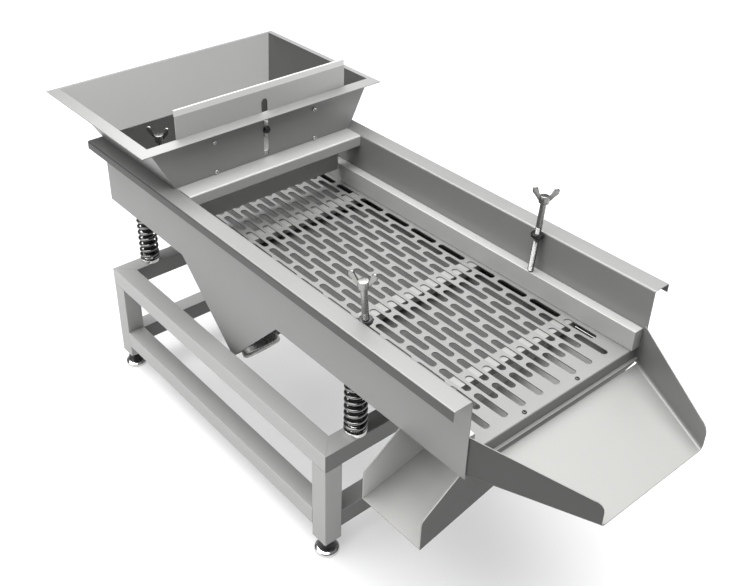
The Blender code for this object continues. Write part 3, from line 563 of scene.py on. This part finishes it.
def roll_tube(node, material, reach_up=0.0):
    piece = clean_copy(node)
    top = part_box(node)[1].z
    for vertex in piece.data.vertices:
        if vertex.co.z > top - ON_EDGE:
            vertex.co.z += reach_up
    take(piece)
    bpy.ops.object.mode_set(mode="EDIT")
    bpy.ops.mesh.select_mode(type="EDGE")
    bpy.ops.mesh.select_all(action="DESELECT")
    bpy.ops.object.mode_set(mode="OBJECT")
    select_long_corners(piece, *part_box(node))
    bpy.ops.object.mode_set(mode="EDIT")
    bpy.ops.mesh.bevel(offset=TUBE_RADIUS, segments=3, affect="EDGES")
    bpy.ops.object.mode_set(mode="OBJECT")
    dress(piece, node + "_rolled", material, None, [node])
    flatten_shading(piece)
    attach(piece, "base")
    return piece

# %% [markdown]
# The frame has four upper and four lower rails and four legs. The legs reach
# up to the upper rails here, as they do once they are welded. The cross rails
# are tinted darker as painted shade; their tops keep the long rails' lighter
# tint, as painted light from the ceiling.

# %% Frame
LEG_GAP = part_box("upper_rail_left")[0].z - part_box("leg_front_left")[1].z

for side, _ in SIDES:
    roll_tube("upper_rail_" + side, tube_x)
    roll_tube("lower_rail_" + side, tube_x)
for end in ("front", "rear"):
    for level in ("upper", "lower"):
        rail = roll_tube(level + "_rail_" + end, tube_crossways_painted_shade)
        # Painted light and shade: the cross rails are tinted darker, and their tops get the
        # long rails' lighter tint.
        paint_light_and_shade(rail, tube_x, lambda face: face.normal.z > 0.5)
    for side, _ in SIDES:
        roll_tube("leg_" + end + "_" + side, tube_z, LEG_GAP)
rolled = [item for item in bpy.data.objects if item.name.endswith("_rolled")]
print("rolled tubes:", len(rolled))

# %% [markdown]
# Most small parts are turned. Half of the part's outline is drawn by extruding
# one point from place to place, as a hand does in edit mode, and is then spun
# about the Z axis, as the lathe turns the bar. A spun shell can come out with
# its inside facing out, so its normals are recalculated after its doubles are
# merged.

# %% Draw and lathe
def draw_line(name, points):
    """Extrude a single point along a path. Leaves the piece in edit mode."""
    take_nothing()
    bpy.ops.mesh.primitive_plane_add(size=0.001, location=points[0])
    piece = bpy.context.object
    piece.name = name
    bpy.ops.object.mode_set(mode="EDIT")
    bpy.ops.mesh.select_mode(type="VERT")
    bpy.ops.mesh.select_all(action="SELECT")
    bpy.ops.mesh.merge(type="CENTER")
    for here, there in zip(points, points[1:]):
        step = Vector(there) - Vector(here)
        bpy.ops.mesh.extrude_region_move(TRANSFORM_OT_translate={"value": step})
    return piece

def lathe(name, outline, steps=40):
    """Spin a half outline, given as radius and height, about the Z axis."""
    piece = draw_line(name, [(radius, 0.0, height) for radius, height in outline])
    bpy.ops.mesh.select_all(action="SELECT")
    bpy.ops.mesh.spin(
        steps=steps, angle=math.tau, center=(0.0, 0.0, 0.0), axis=(0.0, 0.0, 1.0)
    )
    bpy.ops.mesh.select_all(action="SELECT")
    bpy.ops.mesh.remove_doubles(threshold=0.000005)
    bpy.ops.mesh.normals_make_consistent(inside=False)
    bpy.ops.object.mode_set(mode="OBJECT")
    settle(piece)
    return piece

def fillet(radius, height, size, start, end, steps=4):
    """Points of a round corner: centre, size, and its first and last angle."""
    turns = [math.radians(start + (end - start) * i / steps) for i in range(steps + 1)]
    return [(radius + size * math.cos(t), height + size * math.sin(t)) for t in turns]

def place_copies(piece, name, spots, material, body_of, stands_for):
    """Put a copy with its own mesh at each spot and drop the first one."""
    for key, spot in spots.items():
        twin = piece.copy()
        twin.data = piece.data.copy()
        bpy.context.scene.collection.objects.link(twin)
        twin.matrix_world = spot
        dress(twin, name + "_" + key, material, body_of(key), stands_for(key))
    bpy.data.objects.remove(piece, do_unlink=True)

# %% [markdown]
# The spring seats are short turned plugs. A collar carries the end of the coil
# and a tapered nose inside it keeps the coil from walking sideways. The lower
# and the upper seats are the same part; the upper one has a thinner collar.

# %% Spring seats
SPRING_WIRE = 0.0068
COIL_CLEARANCE = 0.0007
LOWER_COLLAR = 0.008
UPPER_COLLAR = 0.006

def seat_outline(radius, collar, nose_height):
    nose = radius - SPRING_WIRE - COIL_CLEARANCE
    edge = 0.0009
    return (
        [(0.0, 0.0)]
        + fillet(radius - edge, edge, edge, -90, 0)
        + fillet(radius - edge, collar - edge, edge, 0, 90)
        + [(nose, collar), (nose - 0.0016, collar + nose_height - 0.0012)]
        + [(nose - 0.0030, collar + nose_height), (0.0, collar + nose_height)]
    )

def make_seats(level, collar, flip):
    node = "spring_seat_" + level + "_"
    low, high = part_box(node + CORNERS[0])
    radius = (high.x - low.x) / 2
    seat = lathe("seat", seat_outline(radius, collar, high.z - low.z - collar), 48)
    turn = Matrix.Rotation(math.pi if flip else 0.0, 4, "X")
    rest = high.z if flip else low.z
    spots = {}
    for corner in CORNERS:
        centre = middle(node + corner)
        spots[corner] = Matrix.Translation((centre.x, centre.y, rest)) @ turn
    body = "trough" if flip else "base"
    place_copies(
        seat, "seat_" + level, spots, bright_turned,
        lambda key: body, lambda key: [node + key],
    )

make_seats("lower", LOWER_COLLAR, False)
make_seats("upper", UPPER_COLLAR, True)

# %% [markdown]
# A compression spring is one wire wound at an even pitch, with a closed turn
# at each end. The path of the wire is worked out turn by turn and swept with
# the wire's round section. The lower end stays on the frame and the upper end
# follows the trough.

# %% Springs
SPRING_TURNS = 8.5
STEPS_PER_TURN = 28
CLOSED_TURN = SPRING_WIRE * 1.08

def coil_height(turns, low, high):
    free = (high - low - 2 * CLOSED_TURN) / (SPRING_TURNS - 2)
    if turns < 1:
        return low + CLOSED_TURN * turns
    if turns > SPRING_TURNS - 1:
        return high - CLOSED_TURN * (SPRING_TURNS - turns)
    return low + CLOSED_TURN + free * (turns - 1)

def wire_curve(name, radius, resolution, count):
    """A round wire along a path of straight steps, with capped ends."""
    wire = bpy.data.curves.new(name, "CURVE")
    wire.dimensions = "3D"
    wire.bevel_depth = radius
    wire.bevel_resolution = resolution
    wire.use_fill_caps = True
    path = wire.splines.new("POLY")
    path.points.add(count)
    return wire, path

def as_mesh(name, curve):
    item = bpy.data.objects.new(name, curve)
    bpy.context.scene.collection.objects.link(item)
    take(item)
    bpy.ops.object.convert(target="MESH")
    return bpy.context.object

def wind_spring(corner):
    low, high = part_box("spring_" + corner)
    centre = (low + high) / 2
    mean_radius = (high.x - low.x) / 2 - SPRING_WIRE / 2
    count = round(SPRING_TURNS * STEPS_PER_TURN)
    wire, path = wire_curve("spring_wire", SPRING_WIRE / 2, 3, count)
    for i, point in enumerate(path.points):
        turns = SPRING_TURNS * i / count
        angle = math.tau * turns
        z = coil_height(turns, low.z + SPRING_WIRE / 2, high.z - SPRING_WIRE / 2)
        x = centre.x + mean_radius * math.cos(angle)
        y = centre.y + mean_radius * math.sin(angle)
        point.co = (x, y, z, 1.0)
    spring = as_mesh("spring_coil_" + corner, wire)
    dress(spring, "spring_coil_" + corner, spring_wire, None, ["spring_" + corner], 60)
    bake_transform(spring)

for corner in CORNERS:
    wind_spring(corner)
print("springs wound:", len(CORNERS), "with", SPRING_TURNS, "turns each")

# %% [markdown]
# Inside each coil stand two black rubber buffers, one on each seat. They stop
# the coil from buckling, and they meet if the trough is overloaded. The air
# between them is more than the trough's stroke.

# %% Spring buffers
BUFFER_RADIUS = 0.0128
BUFFER_AIR = 0.012
SIT_OFF = 0.0001
nose_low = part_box("spring_seat_lower_" + CORNERS[0])[1].z
nose_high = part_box("spring_seat_upper_" + CORNERS[0])[0].z
half_length = (nose_high - nose_low - BUFFER_AIR) / 2

def buffer_outline(radius, length, foot=0.0020, dome=0.0040):
    return (
        [(0.0, 0.0), (radius - foot, 0.0), (radius, foot), (radius, length - dome)]
        + fillet(radius - dome, length - dome, dome, 0, 90)
        + [(0.0, length)]
    )

ENDS = (
    ("lower", "base", nose_low - SIT_OFF, 0.0),
    ("upper", "trough", nose_high + SIT_OFF, math.pi),
)
for level, body, rest, flip in ENDS:
    buffer = lathe("buffer", buffer_outline(BUFFER_RADIUS, half_length), 32)
    spots = {}
    for corner in CORNERS:
        centre = middle("spring_" + corner)
        stand = Matrix.Translation((centre.x, centre.y, rest))
        spots[corner] = stand @ Matrix.Rotation(flip, 4, "X")
    place_copies(
        buffer, "buffer_" + level, spots, rubber, lambda key: body, lambda key: []
    )
print("spring buffers:", 2 * len(CORNERS), "each", round(half_length, 4), "long")

# %% [markdown]
# Nuts and threads come back on several parts. A nut is a six-sided bar with a
# small chamfer, and a thread is drawn as a saw-toothed line for the lathe.

# %% Nuts, threads and joining
def hexagon(name, radius, low, high, chamfer=0.0007):
    centre = (0.0, 0.0, (low + high) / 2)
    bpy.ops.object.select_all(action="DESELECT")
    bpy.ops.mesh.primitive_cylinder_add(
        vertices=6, radius=radius, depth=high - low, location=centre
    )
    nut = bpy.context.object
    nut.name = name
    settle(nut)
    bevel_edges(nut, chamfer, 2)
    return nut

def thread(radius, low, high, pitch=0.00175):
    """Outline points of a thread, seen from the side, from low to high."""
    points = []
    count = round((high - low) / pitch)
    for i in range(count):
        foot = low + (high - low) * i / count
        points.append((radius - pitch * 0.45, foot))
        points.append((radius, foot + pitch * 0.45))
        points.append((radius, foot + pitch * 0.55))
    points.append((radius - pitch * 0.45, high))
    return points

def join_pieces(*pieces):
    take(*pieces)
    bpy.ops.object.join()
    return bpy.context.object

# %% [markdown]
# A levelling foot has a domed plate that stands on the floor, a hexagon to
# turn it by, a threaded stem and a thin lock nut that holds it against the
# leg. The plate and the stem are turned from one bar here.

# %% Levelling feet
foot_low, foot_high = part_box("levelling_foot_front_left")
FOOT_RADIUS = (foot_high.x - foot_low.x) / 2
LEG_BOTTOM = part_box("leg_front_left")[0].z
STEM_RADIUS = 0.006
RIM_HEIGHT = 0.0048
DOME_RISE = 0.0085

angles = [math.radians(t) for t in range(0, 64, 7)]
dome = [
    (FOOT_RADIUS * math.cos(t), RIM_HEIGHT + DOME_RISE * math.sin(t)) for t in angles
]
foot = lathe(
    "foot",
    [(0.0, 0.0), (FOOT_RADIUS - 0.0012, 0.0), (FOOT_RADIUS, 0.0012)]
    + dome
    + [(0.0100, 0.0140), (0.0092, 0.0170), (STEM_RADIUS - 0.0006, 0.0176)]
    + thread(STEM_RADIUS, 0.0178, LEG_BOTTOM + 0.010)
    + [(STEM_RADIUS - 0.0008, foot_high.z), (0.0, foot_high.z)],
    48,
)
foot = join_pieces(
    foot,
    hexagon("foot_hexagon", 0.011, 0.0185, LEG_BOTTOM - 0.0085),
    hexagon("foot_lock_nut", 0.0105, LEG_BOTTOM - 0.0062, LEG_BOTTOM - 0.0006),
)
foot_spots = {}
for corner in CORNERS:
    centre = middle("levelling_foot_" + corner)
    foot_spots[corner] = Matrix.Translation((centre.x, centre.y, 0.0))
place_copies(
    foot, "foot", foot_spots, bright_turned,
    lambda key: "foot_" + key, lambda key: ["levelling_foot_" + key],
)
print("feet:", len(foot_spots), "radius", round(FOOT_RADIUS, 4))

# %% [markdown]
# A wide dark ring sits on each foot's plate, around the hexagon, where the
# leg's shade falls on the dome; its dark finish is painted shade. It caps the
# ball joint that lets the plate tilt on an uneven floor.

# %% Foot rings
ring = lathe(
    "foot_ring",
    [(0.0118, 0.0128), (0.0178, 0.0120)]
    + fillet(0.0183, 0.0136, 0.0012, -60, 60)
    + [(0.0160, 0.0232), (0.0140, 0.0262), (0.0118, 0.0262), (0.0118, 0.0128)],
    48,
)
place_copies(
    ring, "foot_ring", foot_spots, blackened_and_shade_steel, lambda key: "foot_" + key, lambda key: []
)

# %% [markdown]
# The screen is one sheet, folded down at both ends. Its side outline is drawn
# once, with the bends as arcs, and pulled out to the full width.

# %% Screen sheet
BEND = 0.0030
FRONT_LIP = 0.023
screen_low, screen_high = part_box("screen_plate")
left, right, top = screen_low.x, screen_high.x, screen_high.z

def pull_along_y(name, outline, y0, y1):
    """Fill a closed outline of x and z, and extrude it from y0 to y1."""
    piece = draw_line(name, [(x, y0, z) for x, z in outline])
    bpy.ops.mesh.select_all(action="SELECT")
    bpy.ops.mesh.edge_face_add()
    bpy.ops.mesh.extrude_region_move(TRANSFORM_OT_translate={"value": (0.0, y1 - y0, 0.0)})
    bpy.ops.mesh.select_all(action="SELECT")
    bpy.ops.mesh.normals_make_consistent(inside=False)
    bpy.ops.object.mode_set(mode="OBJECT")
    settle(piece)
    return piece

outline = (
    [(left, screen_low.z)]
    + list(reversed(fillet(left + BEND, top - BEND, BEND, 90, 180)))
    + list(reversed(fillet(right - BEND, top - BEND, BEND, 0, 90)))
    + [(right, top - FRONT_LIP), (right - SHEET, top - FRONT_LIP)]
    + fillet(right - BEND, top - BEND, BEND - SHEET, 0, 90)
    + fillet(left + BEND, top - BEND, BEND - SHEET, 90, 180)
    + [(left + SHEET, screen_low.z)]
)
screen = pull_along_y("screen", outline, screen_low.y, screen_high.y)

# %% [markdown]
# One slot is drawn as a stretched circle, repeated along its row and over
# every second row. The rows between them start half a pitch further back.

# %% Slots
SLOT_LENGTH = 0.071
SLOT_WIDTH = 0.015
SLOT_PITCH = 0.0823
ROW_PITCH = 0.0215
ROWS = 18
SLOTS_PER_ROW = 11
FRONT_BAND = 0.0215
PUNCH_DEPTH = 0.008

def repeat(piece, count, step):
    apply_modifier(
        piece, "ARRAY", count=count, use_relative_offset=False,
        use_constant_offset=True, constant_offset_displace=step,
    )

def slot_rows(front, first_row):
    """One slot, repeated along the row and over every second row."""
    bpy.ops.object.select_all(action="DESELECT")
    bpy.ops.mesh.primitive_circle_add(
        vertices=20, radius=SLOT_WIDTH / 2, fill_type="NGON", location=(0.0, 0.0, 0.0)
    )
    slot = bpy.context.object
    settle(slot)
    straight = (SLOT_LENGTH - SLOT_WIDTH) / 2
    for vertex in slot.data.vertices:
        vertex.co.x += straight if vertex.co.x > 0 else -straight
    bpy.ops.object.mode_set(mode="EDIT")
    bpy.ops.mesh.select_all(action="SELECT")
    bpy.ops.mesh.extrude_region_move(
        TRANSFORM_OT_translate={"value": (0.0, 0.0, PUNCH_DEPTH)}
    )
    bpy.ops.mesh.select_all(action="SELECT")
    bpy.ops.mesh.normals_make_consistent(inside=False)
    bpy.ops.object.mode_set(mode="OBJECT")
    slot.location = (front, ROW_PITCH * (first_row + 0.5), top - 0.005)
    settle(slot)
    repeat(slot, SLOTS_PER_ROW, (-SLOT_PITCH, 0.0, 0.0))
    repeat(slot, ROWS // 2, (0.0, 2 * ROW_PITCH, 0.0))
    return slot

# %% [markdown]
# All the slots are cut through the sheet in one go, which is also how a
# punching press makes them.

# %% Punch the screen
front_slot = right - FRONT_BAND - SLOT_LENGTH / 2
punch = join_pieces(
    slot_rows(front_slot, -ROWS // 2),
    slot_rows(front_slot - SLOT_PITCH / 2, -ROWS // 2 + 1),
)
apply_modifier(screen, "BOOLEAN", operation="DIFFERENCE", solver="EXACT", object=punch)
bpy.data.objects.remove(punch, do_unlink=True)
dress(screen, "screen_punched", screen_steel, "trough", ["screen_plate"])
print("screen faces:", len(screen.data.polygons))

# %% [markdown]
# Wing bolts press the clamp rails down on the screen. The outline of one wing
# is filled, thickened and given a large bevel: flat near the hub and round at
# the tip. The stud and the hub are turned, with a thread on the lower half.

# %% Wings and studs
WING_REACH = 0.025
WING_THICKNESS = 0.0048
TIP_RADIUS = 0.0055
STUD_RADIUS = 0.006
THREAD_TOP = 0.012

def make_wing(hub_top):
    outline = [(0.0040, hub_top - 0.0100), (0.0105, hub_top - 0.0105)]
    outline += [(0.0170, hub_top - 0.0020), (WING_REACH - 0.0012, hub_top + 0.0055)]
    outline += fillet(WING_REACH - TIP_RADIUS, hub_top + 0.0112, TIP_RADIUS, -8, 150, 7)
    outline += [(0.0108, hub_top + 0.0040), (0.0074, hub_top - 0.0012)]
    outline += [(0.0040, hub_top - 0.0014)]
    wing = pull_along_y("wing", outline, -WING_THICKNESS / 2, WING_THICKNESS / 2)
    bevel_edges(wing, 0.0018, 4, angle=60)
    return wing

def make_stud(foot, hub_top):
    radius = STUD_RADIUS
    outline = [(0.0, foot), (radius - 0.0014, foot), (radius - 0.0004, foot + 0.0012)]
    outline += thread(radius, foot + 0.0014, THREAD_TOP)
    outline += [(radius, THREAD_TOP + 0.001), (radius, hub_top - 0.0150)]
    outline += [(0.0086, hub_top - 0.0146)]
    outline += fillet(0.0088, hub_top - 0.0132, 0.0014, -80, 0)
    outline += fillet(0.0082, hub_top - 0.0012, 0.0012, 0, 90)
    return lathe("stud", outline + [(0.0, hub_top)], 40)

# %% [markdown]
# The second wing is the first one turned round. Each bolt leans outwards a
# little, stands on its clamp rail, and was last turned by hand, so no two of
# them have their wings the same way.

# %% Wing bolts
TILT = math.radians(5.0)
WING_TURNS = {"front_left": 30, "front_right": 48, "rear_left": 34, "rear_right": 20}
HUB_RISES = {"front": 0.077, "rear": 0.097}
RAIL_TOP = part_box("clamp_rail_left")[1].z
STUD_OFFSET = INNER_FACE + 0.0003 - 0.010  # in from the wall's inner face

def bolt_axis(corner):
    """The frame of a wing bolt: on top of its wall, Z along the stud."""
    sign = -1 if corner.endswith("left") else 1
    x = middle("wing_bolt_" + corner).x
    foot = Matrix.Translation((x, sign * STUD_OFFSET, WALL_TOP))
    return foot @ Matrix.Rotation(-sign * TILT, 4, "X")

def make_wing_bolt(corner, hub_rise):
    hub_top = hub_rise / math.cos(TILT)
    foot = -(WALL_TOP - RAIL_TOP - 0.0009) / math.cos(TILT)
    wing = make_wing(hub_top)
    other = wing.copy()
    other.data = wing.data.copy()
    bpy.context.scene.collection.objects.link(other)
    other.matrix_world = Matrix.Rotation(math.pi, 4, "Z")
    settle(other)
    bolt = join_pieces(make_stud(foot, hub_top), wing, other)
    turn = Matrix.Rotation(math.radians(WING_TURNS[corner]), 4, "Z")
    bolt.matrix_world = bolt_axis(corner) @ turn
    dress(
        bolt, "wing_bolt_forged_" + corner, forged_polish, "wing_bolt_" + corner,
        ["wing_bolt_" + corner],
    )

for corner in CORNERS:
    make_wing_bolt(corner, HUB_RISES[corner.split("_")[0]])
print("wing bolts:", len(CORNERS))

# %% [markdown]
# Each wing bolt passes a short collar on the wall. A black ring sits on the
# collar and keeps product out of the thread.

# %% Collar rings
RING_FOOT = -0.0019
RING_HEIGHT = 0.0016
inner, edge = STUD_RADIUS + 0.0005, RING_HEIGHT / 2
ring = lathe(
    "ring",
    [(inner, 0.0)]
    + fillet(0.0105, edge, edge, -90, 0)
    + fillet(0.0105, edge, edge, 0, 90)
    + [(inner, RING_HEIGHT), (inner, 0.0)],
    40,
)
rise = Matrix.Translation((0.0, 0.0, RING_FOOT))
spots = {corner: bolt_axis(corner) @ rise for corner in CORNERS}
place_copies(ring, "collar_ring", spots, blackened_and_shade_steel, lambda key: "trough", lambda key: [])

# %% [markdown]
# The gate is held by one bolt through the slot in the hopper's front wall,
# with a washer under its head. It lies along X, so it is turned upright first
# and then laid over.

# %% Gate clamp bolt
LAY_OVER = Matrix.Rotation(math.pi / 2, 4, "Y")
SHANK_RADIUS = 0.0040
HEAD_HEIGHT = 0.0050
WASHER_HEIGHT = 0.0012
gate_low, gate_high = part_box("gate_clamp_bolt")
length = gate_high.x - gate_low.x
seat = length - HEAD_HEIGHT
shank = lathe(
    "shank",
    [(0.0, 0.0), (0.0038, 0.0003), (SHANK_RADIUS, 0.0010)]
    + [(SHANK_RADIUS, seat - WASHER_HEIGHT), (0.0085, seat - WASHER_HEIGHT + 0.0001)]
    + fillet(0.0082, seat - 0.0003, 0.0003, 0, 90)
    + [(SHANK_RADIUS, seat), (0.0, seat)],
)
head = hexagon("head", 0.0078, seat, length)
nut = hexagon("nut", 0.0078, 0.0022, 0.0082)
bolt = join_pieces(shank, head, nut)
centre = middle("gate_clamp_bolt")
bolt.matrix_world = Matrix.Translation((gate_low.x, centre.y, centre.z)) @ LAY_OVER
dress(bolt, "gate_bolt_with_washer", blackened_and_shade_steel, "gate_clamp", ["gate_clamp_bolt"])

# %% [markdown]
# Four small screws guide the gate. Their low round heads have a socket, and
# the same head comes back on the deck screws and the lids' screws.

# %% Guide screws
PIN_RADIUS = 0.0028
PIN_HEAD = 0.0030

def cap_outline(radius, height, socket):
    """A low round head with a socket in its top, from its seat up."""
    return (
        [(0.0, 0.0)]
        + fillet(radius - 0.0003, 0.0003, 0.0003, -90, 0)
        + fillet(radius - height * 0.6, height * 0.4, height * 0.6, 0, 80)
        + [(socket, height), (socket, height * 0.35), (0.0, height * 0.35)]
    )

def make_guide_screw(node):
    low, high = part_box(node)
    length = high.x - low.x
    cap = [(r, length - PIN_HEAD + h) for r, h in cap_outline(0.0046, PIN_HEAD, 0.0016)[1:]]
    shaft = [(0.0, 0.0), (PIN_RADIUS, 0.0004), (PIN_RADIUS, length - PIN_HEAD + 0.0001)]
    pin = lathe("pin", shaft + cap, 24)
    screw = join_pieces(pin, hexagon("nut", 0.0046, 0.0022, 0.0050, 0.0004))
    centre = (low + high) / 2
    screw.matrix_world = Matrix.Translation((low.x, centre.y, centre.z)) @ LAY_OVER
    dress(screw, node + "_turned", bright_turned, "trough", [node])

for side, _ in SIDES:
    for level in ("upper", "lower"):
        make_guide_screw("guide_screw_" + side + "_" + level)

# %% [markdown]
# Two low screws near the front edge of the screen plate hold it on the front
# bar. They are too small for the solids, so they are added here.

# %% Deck screws
DECK_SCREW_SPACING = 0.134
DECK_SCREW_INSET = 0.0105
for side, sign in SIDES:
    screw = lathe("deck_screw", cap_outline(0.0042, 0.0020, 0.0016), 28)
    y = sign * DECK_SCREW_SPACING / 2
    screw.location = (screen_high.x - DECK_SCREW_INSET, y, screen_high.z + SIT_OFF)
    dress(screw, "deck_screw_" + side, blackened_and_shade_steel, "trough")

# %% [markdown]
# The motors hang under the trough with their shafts along the sloping plate
# between the ears. A small frame on each shaft's axis, with Z along the shaft,
# is worked out once and places everything that belongs to the motor.

# %% Frame on the motor shafts
EAR_REAR = 0.304
EAR_RUN = 0.1735
COVER_RADIUS = 0.042
MOTOR_AXIS_HEIGHT = 0.045
MOTOR_LENGTH = 0.148
MOTOR_HEADROOM = 0.0094
trough_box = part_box("side_wall_left")
trough_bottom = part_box("trough_pan")[0].z
apex = Vector((trough_box[0].x + EAR_REAR + EAR_RUN, 0.0, trough_box[0].z))
ear_depth = trough_bottom - apex.z
motor_up = Vector((-EAR_RUN, 0.0, ear_depth)).normalized()
motor_out = Vector((ear_depth, 0.0, EAR_RUN)).normalized()
reach_out = (MOTOR_AXIS_HEIGHT + COVER_RADIUS) * motor_out.z
motor_end = (ear_depth - MOTOR_HEADROOM - reach_out) / motor_up.z

def motor_matrix(side, sign, along, facing=1):
    """A frame on the shaft's axis: Z along the shaft, X away from the plate."""
    y = sign * abs(middle("motor_cover_" + side + "_lower").y)
    spot = apex + motor_out * MOTOR_AXIS_HEIGHT + motor_up * along + Vector((0.0, y, 0.0))
    z_way = motor_up * facing
    x_way = motor_out
    y_way = z_way.cross(x_way)
    turn = Matrix((x_way, y_way, z_way)).transposed().to_4x4()
    return Matrix.Translation(spot) @ turn

# %% [markdown]
# A cover is a deep-drawn cup with a soft corner, a shallow step in its bottom
# and a rolled edge where it meets the housing.

# %% Motor covers
COVER_DEPTH = 0.034
COVER_WALL = 0.0018
COVER_CORNER = 0.0075
COVERS = (
    ("upper", motor_end - COVER_DEPTH, 1),
    ("lower", motor_end - MOTOR_LENGTH + COVER_DEPTH, -1),
)

def cup_outline(radius, depth, wall, soft):
    outside = [(0.0, depth - 0.0012), (0.0150, depth - 0.0012), (0.0180, depth)]
    outside += list(reversed(fillet(radius - soft, depth - soft, soft, 0, 90, 7)))
    outside += [(radius, 0.0030), (radius - 0.0008, 0.0022)]
    outside += list(reversed(fillet(radius - 0.0011, 0.0011, 0.0011, -90, 60)))
    inside = [(radius - wall - 0.0008, 0.0), (radius - wall, 0.004)]
    inside += [(radius - wall, depth - soft), (radius - soft, depth - wall)]
    return outside + inside + [(0.0, depth - wall - 0.0012)]

for side, sign in SIDES:
    for level, along, facing in COVERS:
        shape = cup_outline(COVER_RADIUS, COVER_DEPTH, COVER_WALL, COVER_CORNER)
        cup = lathe("cup", shape, 64)
        cup.matrix_world = motor_matrix(side, sign, along, facing)
        node = "motor_cover_" + side + "_" + level
        dress(cup, node + "_drawn", forged_polish, "trough", [node])
print("motor covers:", len(SIDES) * len(COVERS))

# %% [markdown]
# The housings keep the shape of their solids, with rounder edges as a casting
# has. A lid with four screws closes each terminal box.

# %% Motor housings
LID_SIZE = (0.0022, 0.0370, 0.0410)
LID_PLACE = (0.0493, 0.0, 0.0)
LID_SCREWS = [(0.0504, y, z) for y in (-0.0150, 0.0150) for z in (-0.0170, 0.0170)]

def terminal_lid():
    bpy.ops.object.select_all(action="DESELECT")
    bpy.ops.mesh.primitive_cube_add(size=1.0, location=LID_PLACE, scale=LID_SIZE)
    lid = bpy.context.object
    settle(lid)
    bevel_edges(lid, 0.0009, 3)
    screws = []
    for place in LID_SCREWS:
        screw = lathe("lid_screw", cap_outline(0.0022, 0.0014, 0.0009), 20)
        screw.matrix_world = Matrix.Translation(place) @ LAY_OVER
        settle(screw)
        screws.append(screw)
    return join_pieces(lid, *screws)

for side, sign in SIDES:
    node = "motor_housing_" + side
    shell = clean_copy(node)
    bevel_edges(shell, 0.0007, 2)
    dress(shell, node + "_cast", cast_paint, "trough", [node])
    lid = terminal_lid()
    lid.matrix_world = motor_matrix(side, sign, motor_end - MOTOR_LENGTH / 2)
    dress(lid, "terminal_lid_" + side, cast_paint, "trough")
print("motor housings:", len(SIDES), "with lids")

# %% [markdown]
# The lower rails are welded to the legs. A weld bead is a row of small
# overlapping pools of metal, so its section swells and shrinks along its way.

# %% Weld beads
BEAD_RADIUS = 0.0013
BEAD_NECK = 0.72
POOL_LENGTH = 0.0022
CORNER_GAP = 0.003

def weld_bead(name, start, end):
    start, end = Vector(start), Vector(end)
    count = round((end - start).length / POOL_LENGTH) * 2
    bead, path = wire_curve(name, BEAD_RADIUS, 2, count)
    for i, point in enumerate(path.points):
        point.co = (*start.lerp(end, i / count), 1.0)
        point.radius = 1.0 if i % 2 else BEAD_NECK
    dress(as_mesh(name, bead), name, tube_x, "base", (), 60)

for side, _ in SIDES:
    low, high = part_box("lower_rail_" + side)
    y0, y1 = low.y + CORNER_GAP, high.y - CORNER_GAP
    for end, x in (("rear", low.x), ("front", high.x)):
        for level, z in (("under", low.z), ("over", high.z)):
            weld_bead("weld_" + side + "_" + end + "_" + level, (x, y0, z), (x, y1, z))
for end in ("front", "rear"):
    low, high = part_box("lower_rail_" + end)
    x0, x1 = low.x + CORNER_GAP, high.x - CORNER_GAP
    for side, y in (("left", low.y), ("right", high.y)):
        for level, z in (("under", low.z), ("over", high.z)):
            name = "weld_cross_" + end + "_" + side + "_" + level
            weld_bead(name, (x0, y, z), (x1, y, z))
beads = [item for item in bpy.data.objects if item.name.startswith("weld_")]
print("weld beads:", len(beads))

# %% [markdown]
# The rotors inside the motors keep their solids and only get a finish.

# %% Rotors and finish
for side, _ in SIDES:
    rotor = nodes["motor_rotor_" + side]
    rotor.data.materials.clear()
    rotor.data.materials.append(blackened_and_shade_steel)
